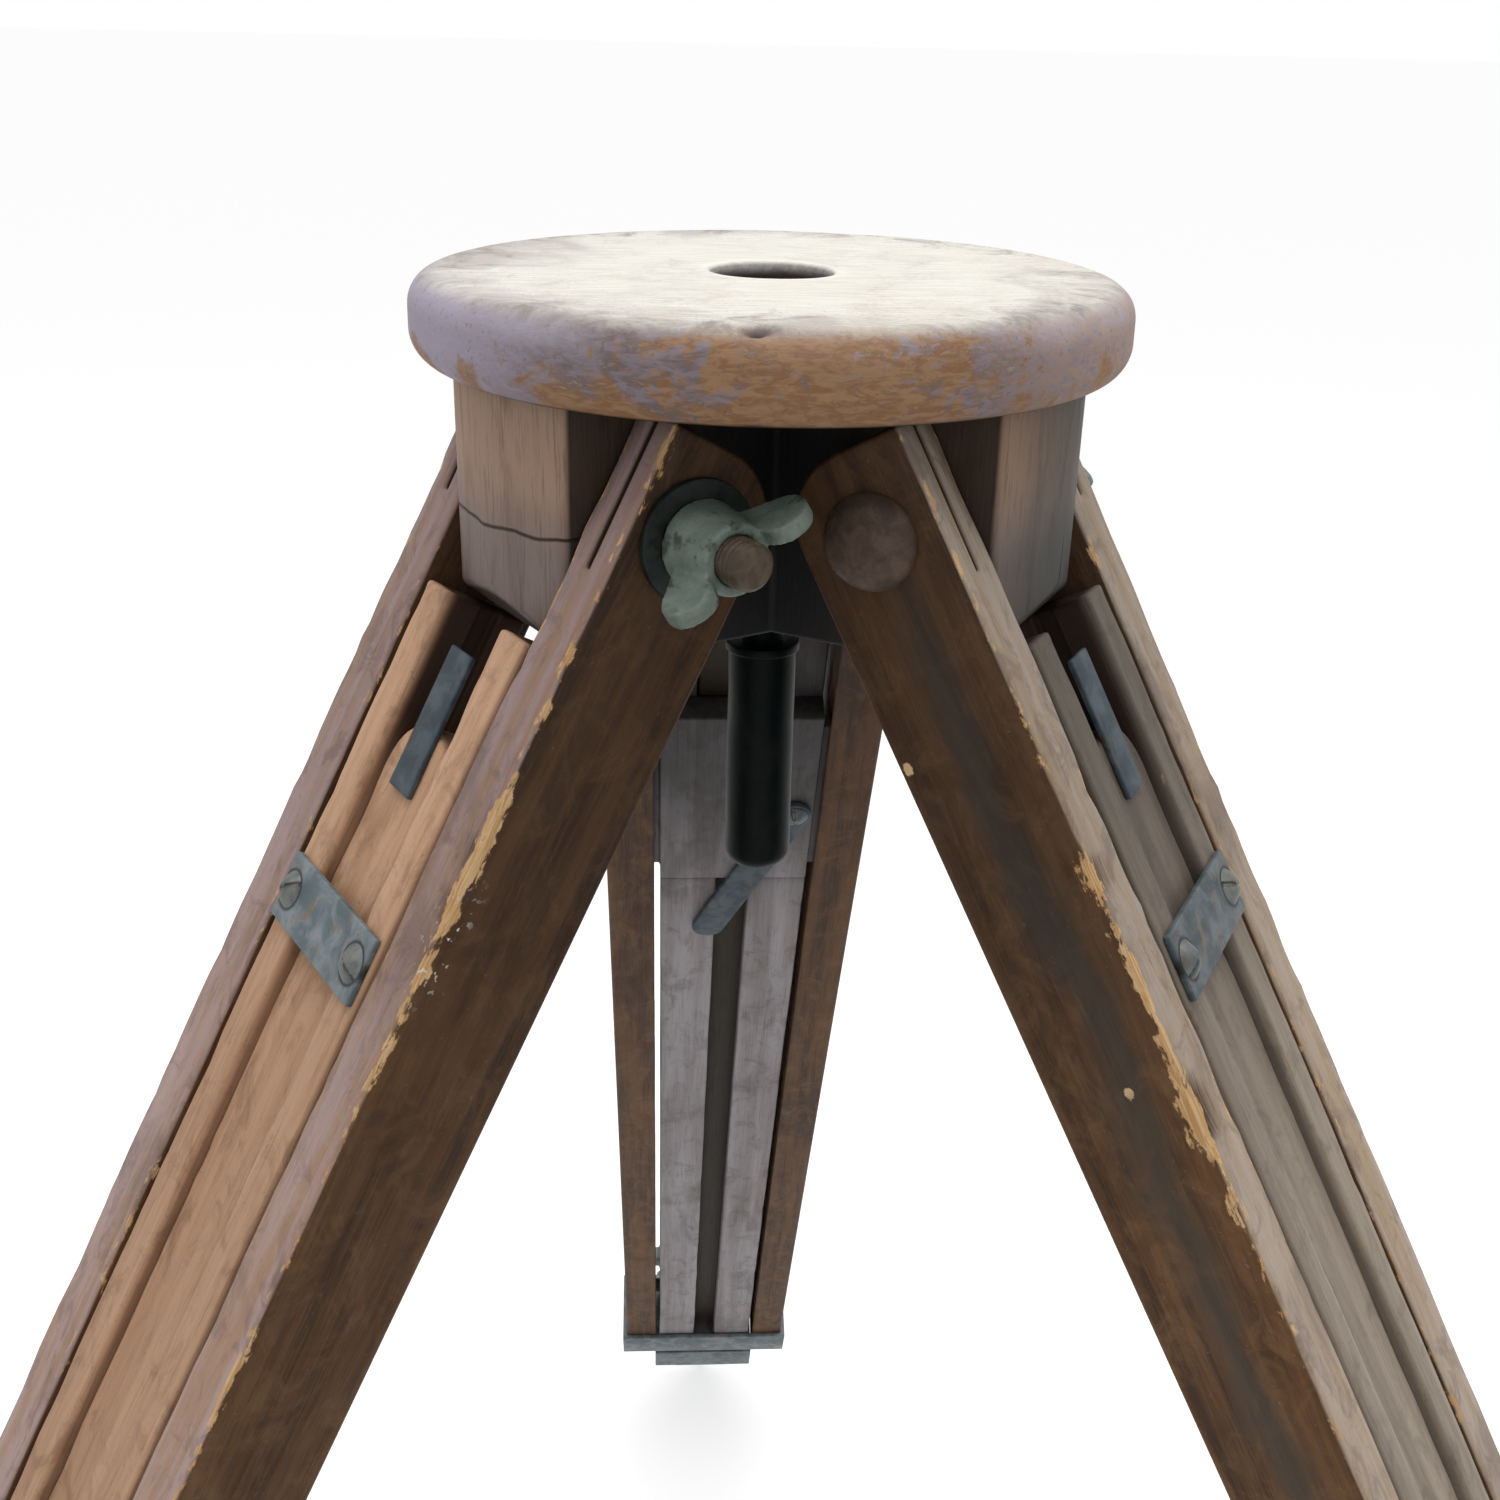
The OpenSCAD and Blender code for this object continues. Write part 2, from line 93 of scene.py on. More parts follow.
def leg_frame(side):
    """Frame of one leg: X outwards, Y along the hinge bolt, Z up the leg, zero on the bolt."""
    up = -Vector(JOINTS[f"{side}_middle_slide"]["axis"])
    along = -Vector(JOINTS[f"{side}_leg_spread"]["axis"])
    placing = Matrix((along.cross(up), along, up)).transposed().to_4x4()
    placing.translation = JOINTS[f"{side}_leg_spread"]["pos_m"]
    return placing


LEGS = {side: leg_frame(side) for side in SIDES}


def points_of(mesh):
    """The mesh's points as an array of rows x, y, z."""
    flat = np.empty(len(mesh.vertices) * 3)
    mesh.vertices.foreach_get("co", flat)
    return flat.reshape(-1, 3)


def to_frame(points, placing):
    """Points in metres, told in a placing's own axes in millimetres."""
    axes = np.array(placing.to_3x3())
    return (points - np.array(placing.translation)) @ axes * MM


def from_frame(points, placing):
    """Points in a placing's own millimetres, told in metres in the row frame."""
    axes = np.array(placing.to_3x3())
    return points / MM @ axes.T + np.array(placing.translation)


def span(node, placing=Matrix()):
    """Lowest and highest corner of a CAD node in a placing's own millimetres."""
    local = to_frame(points_of(frame["nodes"][node].data), placing)
    return local.min(axis=0), local.max(axis=0)


def wander(where, seed, step):
    """Smooth seeded noise from 0 to 1 along a line: random knots every step, joined by cosines."""
    knots = np.random.default_rng(seed).random(600)
    place = np.asarray(where) / step + 300.0
    low = np.floor(place).astype(int) % 599
    part = 0.5 - 0.5 * np.cos(np.pi * (place - np.floor(place)))
    return knots[low] * (1.0 - part) + knots[low + 1] * part


# ---- Pieces ----

def put(name, mesh, body, node):
    """Shows a finished mesh as a piece that rides on a body and stands for a CAD node."""
    mesh.name = name
    mesh.polygons.foreach_set("use_smooth", np.ones(len(mesh.polygons), dtype=bool))
    piece = bpy.data.objects.new(name, mesh)
    bpy.context.scene.collection.objects.link(piece)
    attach(piece, body)
    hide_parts(node)
    return piece


def paint(piece, finish):
    """Gives the piece one finish in place of whatever it had."""
    piece.data.materials.clear()
    piece.data.materials.append(finish)


def merged_copy(node):
    """Copy of a CAD node in which loose triangles share points and flat faces are whole."""
    solid = bmesh.new()
    solid.from_mesh(frame["nodes"][node].data)
    bmesh.ops.remove_doubles(solid, verts=solid.verts, dist=2e-6)
    bmesh.ops.dissolve_limit(
        solid, angle_limit=math.radians(0.4), verts=solid.verts, edges=solid.edges)
    return solid


def soften(solid, width, segments=2):
    """Rounds each edge of a merged copy that turns by more than the soft angle."""
    sharp = [e for e in solid.edges
             if e.is_manifold and e.calc_face_angle(0.0) > math.radians(SOFT_ANGLE)]
    bmesh.ops.bevel(solid, geom=sharp, offset=width / MM, offset_type="OFFSET",
                    segments=segments, profile=0.5, affect="EDGES", clamp_overlap=False)


def to_mesh(solid):
    """The mesh of a finished bmesh."""
    mesh = bpy.data.meshes.new("piece")
    solid.to_mesh(mesh)
    solid.free()
    return mesh


def sharpen(mesh, angle=SOFT_ANGLE):
    """Smooth shading that still breaks at edges that turn by more than an angle."""
    mesh.polygons.foreach_set("use_smooth", np.ones(len(mesh.polygons), dtype=bool))
    mesh.set_sharp_from_angle(angle=math.radians(angle))


def soft_piece(name, body, node, width, segments=2):
    """Shows a CAD node as a piece with its edges rounded."""
    solid = merged_copy(node)
    soften(solid, width, segments)
    mesh = to_mesh(solid)
    piece = put(name, mesh, body, node)
    sharpen(mesh)
    return piece


def skin(grid, closed):
    """Mesh through rows of points that run round: each row is joined to the next by quads.
    When closed, the last row meets the first; else each end is closed on the row's middle.
    """
    rows, around = grid.shape[:2]
    points = grid.reshape(-1, 3)
    row, step = np.meshgrid(
        np.arange(rows if closed else rows - 1), np.arange(around), indexing="ij")
    after = (row + 1) % rows
    turn = (step + 1) % around
    quads = np.stack([row * around + step, row * around + turn,
                      after * around + turn, after * around + step], axis=-1).reshape(-1, 4)
    faces = quads.tolist()
    if not closed:
        ends = np.stack([grid[0].mean(axis=0), grid[-1].mean(axis=0)])
        first = len(points)
        points = np.concatenate([points, ends])
        ring = np.arange(around)
        near = np.stack([np.full(around, first), (ring + 1) % around, ring], axis=-1)
        last = (rows - 1) * around
        far = np.stack([np.full(around, first + 1), last + ring,
                        last + (ring + 1) % around], axis=-1)
        faces += near.tolist() + far.tolist()
    corners = points - points.mean(axis=0)
    a, b, c = (corners[quads[:, k]] for k in (0, 1, 2))
    if np.einsum("ij,ij->i", a, np.cross(b, c)).sum() < 0.0:
        faces = [face[::-1] for face in faces]
    mesh = bpy.data.meshes.new("piece")
    mesh.from_pydata(points.tolist(), [], faces)
    mesh.update()
    return mesh


def turned(profile, steps, placing, ridge=None):
    """Rows of points of a turned shape: each (radius, height) of the profile goes once round
    the placing's Z axis. ridge(radius, height, angle) may add to the radius.
    """
    radius, height = np.asarray(profile, dtype=float).T
    angle = np.linspace(0.0, 2.0 * np.pi, steps, endpoint=False)
    r = np.repeat(radius[:, None], steps, axis=1)
    h = np.repeat(height[:, None], steps, axis=1)
    turn = np.repeat(angle[None, :], len(radius), axis=0)
    if ridge is not None:
        r = r + ridge(r, h, turn)
    local = np.stack([r * np.cos(turn), r * np.sin(turn), h], axis=-1)
    return from_frame(local.reshape(-1, 3), placing).reshape(local.shape)


def arc(centre_r, centre_h, radius, start, end, count):
    """Profile points on an arc, its angles in degrees from the outward direction."""
    angle = np.radians(np.linspace(start, end, count))
    return np.stack([centre_r + radius * np.cos(angle),
                     centre_h + radius * np.sin(angle)], axis=-1)


def joined(meshes):
    """One mesh that holds several."""
    solid = bmesh.new()
    for mesh in meshes:
        solid.from_mesh(mesh)
        bpy.data.meshes.remove(mesh)
    return to_mesh(solid)


def bolt_frame(side):
    """Frame of one leg's hinge bolt: the leg's own, turned so that Z runs along the bolt."""
    return LEGS[side] @ Matrix.Rotation(math.radians(-90), 4, "X")


def worn_board(node, placing, corners, seed, wear, chips=()):
    """Wooden board with softened corners that are worn back unevenly along its length.
    The copy is cut across every few millimetres; a point near a corner line (x, y) moves
    towards the board's middle by wear times smooth noise, plus a bell for each chip
    (line, height, length, depth). The depth is kept as the attribute "bare".
    """
    solid = merged_copy(node)
    soften(solid, BOARD_EDGE)
    low, high = span(node, placing)
    upper = np.arange(high[2] - 3.0, max(low[2], FAR_DOWN), -5.0)
    lower = np.arange(FAR_DOWN, low[2] + 3.0, -15.0)
    axis = placing.to_3x3() @ Vector((0.0, 0.0, 1.0))
    for height in np.concatenate([upper, lower]):
        bmesh.ops.bisect_plane(
            solid, geom=solid.verts[:] + solid.edges[:] + solid.faces[:], dist=1e-7,
            plane_co=placing @ Vector((0.0, 0.0, height / MM)), plane_no=axis)
    mesh = to_mesh(solid)
    local = to_frame(points_of(mesh), placing)
    middle = (low + high) / 2.0
    bare = np.zeros(len(local))
    for line, (x, y) in enumerate(corners):
        away = np.hypot(local[:, 0] - x, local[:, 1] - y)
        close = np.clip(1.0 - away / WEAR_REACH, 0.0, 1.0)
        depth = wear * (wander(local[:, 2], seed + line, 22.0)
                        * wander(local[:, 2], seed + line + 50, 7.0))
        for chip_line, height, length, deep in chips:
            if chip_line == line:
                depth = depth + deep * np.exp(-((local[:, 2] - height) / length) ** 2)
        for k, corner in ((0, x), (1, y)):
            local[:, k] += np.sign(middle[k] - corner) * close * depth * 0.7
        bare = np.maximum(bare, np.where(away < BARE_REACH, depth, 0.0))
    points = from_frame(local, placing)
    mesh.vertices.foreach_set("co", points.ravel())
    layer = mesh.attributes.new("bare", "FLOAT", "POINT")
    layer.data.foreach_set("value", bare)
    mesh.update()
    sharpen(mesh, 40.0)
    return mesh


# ---- Finishes ----

def shader_node(tree, kind, values=(), **settings):
    """A new node of a kind in a tree, with its sockets filled by name or number."""
    node = tree.nodes.new("ShaderNode" + kind)
    for key, value in settings.items():
        setattr(node, key, value)
    for key, value in dict(values).items():
        if isinstance(value, bpy.types.NodeSocket):
            tree.links.new(value, node.inputs[key])
        else:
            node.inputs[key].default_value = value
    return node


class Finish:
    """Adds shader nodes to one material and joins them; lengths are millimetres."""

    def __init__(self, name, placing=None):
        self.material = bpy.data.materials.new(name)
        self.material.use_nodes = True
        self.tree = self.material.node_tree
        self.tree.nodes.clear()
        turn = (placing or Matrix()).inverted()
        coords = self.add("TexCoord").outputs["Object"]
        self.place = self.add("Mapping", {
            "Vector": coords, "Location": turn.translation * MM,
            "Rotation": turn.to_euler("XYZ"), "Scale": (MM, MM, MM)}).outputs[0]
        self.x, self.y, self.z = self.add("SeparateXYZ", {0: self.place}).outputs

    def add(self, kind, values=(), **settings):
        """A new node in this material."""
        return shader_node(self.tree, kind, values, **settings)

    def calc(self, operation, first, second=0.0):
        """A sum on one or two values."""
        return self.add("Math", {0: first, 1: second}, operation=operation).outputs[0]

    def plus(self, first, second):
        """The sum of two values."""
        return self.calc("ADD", first, second)

    def distance(self, first, second):
        """Length of the step that two values make at right angles."""
        squares = self.plus(self.both(first, first), self.both(second, second))
        return self.calc("SQRT", squares)

    def fade(self, value, low, high):
        """0 at low and 1 at high, smooth between."""
        return self.add("MapRange", {"Value": value, "From Min": low, "From Max": high},
                        interpolation_type="SMOOTHSTEP").outputs[0]

    def noise(self, scale, detail=3.0, rough=0.5, stretch=(1.0, 1.0, 1.0), bend=0.0, shift=0.0):
        """Noise from 0 to 1 whose grains are about 1 / scale wide."""
        place = self.add("Mapping", {0: self.place, "Scale": stretch,
                                     "Location": (shift, shift * 0.7, shift * 1.3)}).outputs[0]
        return self.add("TexNoise", {"Vector": place, "Scale": scale, "Detail": detail,
                                     "Roughness": rough, "Distortion": bend}).outputs[0]

    def mix(self, part, first, second):
        """A colour between two, by part."""
        first, second = (c if isinstance(c, bpy.types.NodeSocket) else (*tuple(c)[:3], 1.0)
                         for c in (first, second))
        return self.add("Mix", {0: part, 6: first, 7: second}, data_type="RGBA").outputs[2]

    def both(self, first, second):
        """The product of two values or masks."""
        return self.calc("MULTIPLY", first, second)

    def cover(self, colour, *layers):
        """Lays (mask, colour) layers over a colour, the last on top."""
        for mask, top in layers:
            colour = self.mix(mask, colour, top)
        return colour

    def painted_light_by_height(self, colour, near, far, start=-70.0, end=-240.0):
        """Painted shade and light by height: a colour times near above the height start, going over
        to times far below end.
        """
        light_level = self.add("MapRange", {"Value": self.z, "From Min": start, "From Max": end,
                                      "To Min": near, "To Max": far},
                         interpolation_type="SMOOTHSTEP").outputs[0]
        return self.add("VectorMath", {0: colour, "Scale": light_level}, operation="SCALE").outputs[0]

    def gap(self, value, place, width):
        """Distance of a value from a place, taken as 1 at the place and 0 past width."""
        away = self.calc("ABSOLUTE", self.calc("SUBTRACT", value, place))
        return self.fade(away, width, 0.0)

    def attribute(self, name):
        """A value that the piece's mesh carries."""
        return self.add("Attribute", attribute_name=name).outputs["Fac"]

    def shine(self, colour, rough, height=None, depth=0.3, **fixed):
        """Ends the material with one surface whose bumps are depth millimetres deep."""
        values = {"Base Color": colour, "Roughness": rough, "Specular IOR Level": 0.22}
        values.update({key.replace("_", " "): value for key, value in fixed.items()})
        if height is not None:
            values["Normal"] = self.add("Bump", {"Height": height, "Distance": depth / MM,
                                                 "Strength": 1.0}).outputs[0]
        surface = self.add("BsdfPrincipled", values).outputs[0]
        self.add("OutputMaterial", {"Surface": surface})
        return self.material

    def span_of(self, value, low, high):
        """A value from 0 to 1 taken to low to high."""
        return self.add("MapRange", {"Value": value, "To Min": low, "To Max": high}).outputs[0]


# Fixed colours of the finishes.
TONES = {
    "straw": (0.70, 0.67, 0.58),                # head's top, between the cream
    "scuffed": (0.46, 0.42, 0.39),              # head's top towards its edge
    "old_stain": (0.25, 0.20, 0.19),            # head's top at its edge
    "top_specks": (0.24, 0.20, 0.18),           # dirt in the head's top
    "hole_lip": (0.86, 0.83, 0.76),             # clean ring round the head's hole
    "rim_brown": (0.20, 0.145, 0.13),           # head's rim, with the mauve
    "rim_left_highlight": (0.48, 0.43, 0.54),            # painted highlight on the rim's left side
    "rim_top_highlight": (0.45, 0.42, 0.48),            # painted highlight on the rim's upper half
    "rim_rose": (0.46, 0.33, 0.28),             # right side of the rim
    "rim_rust": (0.30, 0.15, 0.065),            # darker bare wood on the rim
    "rim_specks": (0.11, 0.085, 0.08),          # dirt on the rim
    "rim_pale": (0.52, 0.42, 0.36),             # rubbed spots on the rim
    "notch": (0.03, 0.02, 0.02),                # painted shade inside the rim's notch
    "hole": (0.05, 0.035, 0.025),               # painted shade inside the head's hole
    "underside": (0.02, 0.012, 0.009),          # painted shade on the head's underside
    "block_low": (0.27, 0.212, 0.188),          # hinge block, lower half
    "block_high": (0.46, 0.30, 0.215),          # hinge block, upper half
    "block_bands": (0.19, 0.135, 0.11),         # bands in the block
    "block_grain": (0.12, 0.085, 0.07),         # fibres in the block
    "block_right": (0.072, 0.070, 0.062),       # greyer arm on the right
    "block_right_low": (0.026, 0.030, 0.026),   # that arm's lower end
    "block_cheek_shade": (0.015, 0.008, 0.004),       # painted shade on the arms' sides
    "block_heart_shade": (0.004, 0.003, 0.003),       # painted shade on the block between the arms
    "rail_smear": (0.035, 0.032, 0.026),        # grey smear along the right leg's rails
    "paint_spots": (0.8, 0.78, 0.74),           # paint spatter on the left leg's rail
    "pocket_shade": (0.025, 0.010, 0.006),            # painted shade inside the middle section's open top
    "channel_shade": (0.030, 0.021, 0.010),           # painted shade on the lower board deep between the stiles
    "screw_ring_shade": (0.02, 0.022, 0.02),          # painted shade in a ring round the keeper's screws
    "split": (0.012, 0.008, 0.006),             # shake and crack in the block's arms
    "grey_pale": (0.38, 0.31, 0.255),           # right leg's rails, outer face
    "grey_tan": (0.33, 0.24, 0.155),            # right leg's rails, outer face
}


def long_grain(f, fine=1.6, wide=0.16, bend=0.4):
    """Two noises drawn out along the leg: fine fibres and wide bands."""
    fibres = f.noise(fine, 4.0, 0.6, (1.0, 1.0, 0.03), bend)
    bands = f.noise(wide, 3.0, 0.55, (1.0, 1.0, 0.05), bend, 31.0)
    return fibres, bands


# Painted shade and light by height on each leg's rails: near and far multipliers for the sides,
# then for the outer face.
RAIL_PAINTED_LIGHT = {"left": ((0.85, 1.45), (1.1, 1.45)), "right": ((0.95, 1.9), (1.1, 1.4)),
              "back": ((0.9, 1.5), (1.1, 1.6))}


def rail_finish(side, colours, depth, inner, outer):
    """Dark varnish on the sides, weathered outer face, bare wood on the worn corners, painted shade
    and light by height, and painted shade inside the kerf.
    """
    f = Finish(f"rail_wood_{side}", LEGS[side])
    fibres, bands = long_grain(f)
    blots = f.noise(0.03, 4.0, 0.6, (1.0, 1.0, 0.6), 0.6)
    dust = f.noise(0.5, 5.0, 0.7)
    mottle = f.noise(0.09, 5.0, 0.7, (1.0, 1.0, 0.7), 0.8, 23.0)
    side_colour = f.mix(f.fade(bands, 0.3, 0.7), colours.rail_dark, colours.rail_warm)
    side_colour = f.mix(f.both(f.fade(fibres, 0.45, 0.7), 0.28), side_colour, colours.rail_light)
    side_colour = f.cover(
        side_colour,
        (f.both(f.fade(blots, 0.52, 0.72), 0.75), colours.rail_dark),
        (f.both(f.fade(mottle, 0.45, 0.7), 0.45), colours.rail_light),
        (f.both(f.fade(dust, 0.62, 0.74), 0.3), colours.dust))
    if side == "right":
        smear = f.plus(f.x, f.span_of(blots, -14.0, 14.0))
        smear = f.both(f.gap(smear, 1.0, 11.0), f.fade(f.z, 10.0, -50.0))
        side_colour = f.mix(f.both(smear, 0.7), side_colour, TONES["rail_smear"])
    # Painted shade and light by height on the rail's sides.
    side_colour = f.painted_light_by_height(side_colour, *RAIL_PAINTED_LIGHT[side][0])
    pale, tan = colours.face_pale, colours.face_tan
    if side == "right":
        pale, tan = TONES["grey_pale"], TONES["grey_tan"]
    face = f.mix(f.fade(bands, 0.35, 0.65), pale, tan)
    face = f.cover(
        face,
        (f.both(f.fade(fibres, 0.52, 0.7), 0.3), colours.face_dark),
        (f.both(f.fade(mottle, 0.5, 0.66), 0.45), colours.face_dark),
        (f.both(f.fade(mottle, 0.46, 0.34), 0.35), colours.dust),
        (f.both(f.fade(blots, 0.5, 0.66), 0.5), colours.face_dark),
        (f.both(f.fade(dust, 0.6, 0.72), 0.35), colours.dust))
    # Painted shade and light by height on the rail's outer face.
    face = f.painted_light_by_height(face, *RAIL_PAINTED_LIGHT[side][1])
    outside = f.fade(f.plus(f.x, f.span_of(fibres, -0.5, 0.5)), depth - 1.6, depth - 0.7)
    colour = f.mix(outside, side_colour, face)
    reach = f.calc("ABSOLUTE", f.y)
    from_face = f.calc("SUBTRACT", depth, f.x)
    ragged = f.noise(0.35, 5.0, 0.65, (1.0, 1.0, 0.35))
    bare = f.attribute("bare")
    for line, base in ((outer, 0.9), (inner, 0.2)):
        away = f.plus(from_face, f.calc("ABSOLUTE", f.calc("SUBTRACT", reach, line)))
        width = f.plus(f.both(bare, 2.5), f.span_of(ragged, -7.6, 5.6 + base))
        mask = f.fade(f.calc("SUBTRACT", width, away), -0.5, 0.6)
        tone = f.mix(f.fade(fibres, 0.4, 0.62), colours.bare_wood, colours.bare_light)
        colour = f.mix(f.both(mask, 0.92), colour, tone)
    for height, across in ((-59.5, -17.5), (-163.0, 3.0)) if side == "right" else ():
        spot = f.both(f.gap(f.z, height, 3.4), f.gap(f.x, across, 2.4))
        spot = f.fade(f.plus(spot, f.span_of(dust, -0.6, 0.6)), 0.35, 0.55)
        colour = f.mix(f.both(spot, f.fade(f.y, -outer + 1.5, -outer + 0.5)), colour,
                       colours.bare_light)
    if side == "left":
        spatter = f.both(f.fade(f.noise(0.42, 2.0, 0.5, shift=70.0), 0.63, 0.655),
                         f.both(f.gap(f.z, -120.0, 22.0), f.fade(f.y, outer - 9.0, outer - 3.0)))
        spatter = f.both(spatter, f.fade(f.x, depth - 11.0, depth - 4.0))
        colour = f.mix(spatter, colour, TONES["paint_spots"])
    # Painted shade inside the kerf at the rail's top, in the dirt colour.
    kerf_shade = f.both(f.gap(reach, (inner + outer) / 2.0, 2.0), f.fade(f.x, depth - 1.0, depth - 2.0))
    kerf_shade = f.both(kerf_shade, f.fade(f.z, -22.0, -16.0))
    colour = f.mix(kerf_shade, colour, colours.dirt)
    height = f.plus(f.both(fibres, 0.5), f.both(dust, 0.5))
    rough = f.span_of(f.noise(0.2, 3.0, 0.6, (1.0, 1.0, 0.3)), 0.42, 0.75)
    return f.shine(colour, rough, height, 0.35)


# Painted shade and light by height on each leg's planks: the multiplier near the head and lower
# down.
PLANK_PAINTED_LIGHT = {"left": (1.7, 1.5), "right": (0.6, 1.6), "back": (0.55, 2.2)}


def plank_finish(name, side, tones, face_x, line=None):
    """Sanded and darkened wood with long grain, painted shade and dirt on surfaces sunk below the
    face, painted shade in the pocket and the channel, painted shade and light by height, dirt
    specks and thin bright corners.
    """
    start, end = (-150.0, -300.0) if side == "back" else (-70.0, -240.0)
    dark, middle, light, bare_tone, dirt = tones
    f = Finish(f"{name}_{side}", LEGS[side])
    fibres, bands = long_grain(f, 1.3, 0.1, 0.5)
    blots = f.noise(0.02, 4.0, 0.6, (1.0, 1.0, 0.5), 0.8, 9.0)
    colour = f.mix(f.fade(bands, 0.3, 0.7), middle, light)
    colour = f.mix(f.both(f.fade(fibres, 0.5, 0.72), 0.35), colour, dark)
    mottle = f.noise(0.08, 5.0, 0.7, (1.0, 1.0, 0.6), 0.8, 23.0)
    colour = f.mix(f.both(f.fade(mottle, 0.48, 0.68), 0.4), colour, dark)
    colour = f.mix(f.both(f.fade(blots, 0.5, 0.7), 0.5), colour, dark)
    # Painted shade and dirt on surfaces sunk below the face.
    sunk_shade_and_dirt = f.fade(f.x, face_x - 1.2, face_x - 3.2)
    # Painted shade inside the middle section's open top, near the head.
    pocket_shade = f.both(f.fade(f.x, face_x - 1.5, face_x - 4.5), f.fade(f.z, -118.0, -78.0))
    colour = f.mix(f.both(sunk_shade_and_dirt, 0.65 if side != "back" else 0.0), colour, dark)
    # Painted shade and light by height.
    colour = f.painted_light_by_height(colour, *PLANK_PAINTED_LIGHT[side], start, end)
    if name != "board_wood":
        colour = f.mix(f.both(pocket_shade, 0.93), colour, TONES["pocket_shade"])
    else:
        # Painted shade on the board deep between the stiles.
        colour = f.mix(f.both(f.fade(f.x, -3.0, -6.5), 0.96), colour, TONES["channel_shade"])
    if line is not None:
        away = f.plus(f.calc("ABSOLUTE", f.calc("SUBTRACT", face_x, f.x)),
                      f.calc("ABSOLUTE", f.calc("SUBTRACT", f.calc("ABSOLUTE", f.y), line)))
        ragged = f.noise(0.3, 4.0, 0.6, (1.0, 1.0, 0.3))
        width = f.span_of(ragged, -5.6, 4.6)
        mask = f.fade(f.calc("SUBTRACT", width, away), -0.6, 0.5)
        colour = f.mix(f.both(mask, 0.8), colour, bare_tone)
    colour = f.mix(f.both(f.fade(f.noise(0.6, 5.0, 0.7), 0.62, 0.7), 0.4), colour, dirt)
    height = f.plus(f.both(fibres, 0.6), f.both(bands, 0.2))
    return f.shine(colour, f.span_of(fibres, 0.5, 0.72), height, 0.25)


# What metal_finish takes after the placing. Cast and knob take their base from the settings.
METALS = {
    "washer": ((0.003, 0.006, 0.005), (0.002, 0.002, 0.002), (0.018, 0.025, 0.021), 0.5, 0.1),
    "cast": ((0.04, 0.05, 0.038), (0.22, 0.27, 0.23), 0.5, 0.2, 0.3),
    # catch: darker than the plates, as painted shade for the catch strip between the stiles
    "catch": ((0.046, 0.068, 0.086), (0.07, 0.055, 0.04), (0.10, 0.125, 0.14), 0.55, 0.2, 0.15),
    "brass": ((0.09, 0.105, 0.105), (0.16, 0.10, 0.05), (0.20, 0.21, 0.20), 0.42, 0.4),
    "collar": ((0.04, 0.035, 0.03), (0.05, 0.028, 0.016), (0.09, 0.08, 0.07), 0.5, 0.4),
    "knob": ((0.05, 0.05, 0.04), (0.17, 0.19, 0.17), 0.45, 0.35, 0.2),
    "screw": ((0.05, 0.042, 0.035), (0.07, 0.035, 0.02), (0.10, 0.09, 0.08), 0.5, 0.4),
}


def metal_finish(name, placing, base, stain, pale, rough, metallic, depth=0.12, screws=()):
    """Old metal: an oxidised colour with stains, pale bloom, fine pits and painted shade in a ring
    round screws.
    """
    f = Finish(name, placing)
    patches = f.noise(0.11, 4.0, 0.62, bend=0.5)
    grit = f.noise(1.4, 4.0, 0.7)
    colour = f.mix(f.fade(patches, 0.35, 0.65), base, pale)
    colour = f.mix(f.both(f.fade(f.noise(0.16, 4.0, 0.6, shift=17.0), 0.54, 0.68), 0.8),
                   colour, stain)
    colour = f.mix(f.both(f.fade(grit, 0.55, 0.75), 0.3), colour, stain)
    # Painted shade in a ring round each screw's head.
    for y, z in screws:
        away = f.distance(f.calc("SUBTRACT", f.y, y), f.calc("SUBTRACT", f.z, z))
        ring = f.gap(f.plus(away, f.span_of(grit, -0.5, 0.5)), 5.9, 1.1)
        colour = f.mix(f.both(ring, 0.85), colour, TONES["screw_ring_shade"])
    return f.shine(colour, f.span_of(grit, rough - 0.12, rough + 0.18), grit, depth,
                   Metallic=metallic)


# ---- What a user may change ----

def colour_value(name, words, value):
    """A colour setting."""
    return bpy.props.FloatVectorProperty(
        name=name, description=words, default=value, size=3, subtype="COLOR", min=0.0, max=1.0)


def length_value(name, words, value, low, high):
    """A length setting, in millimetres."""
    return bpy.props.FloatProperty(
        name=name, description=f"{words}, in millimetres", default=value, min=low, max=high)


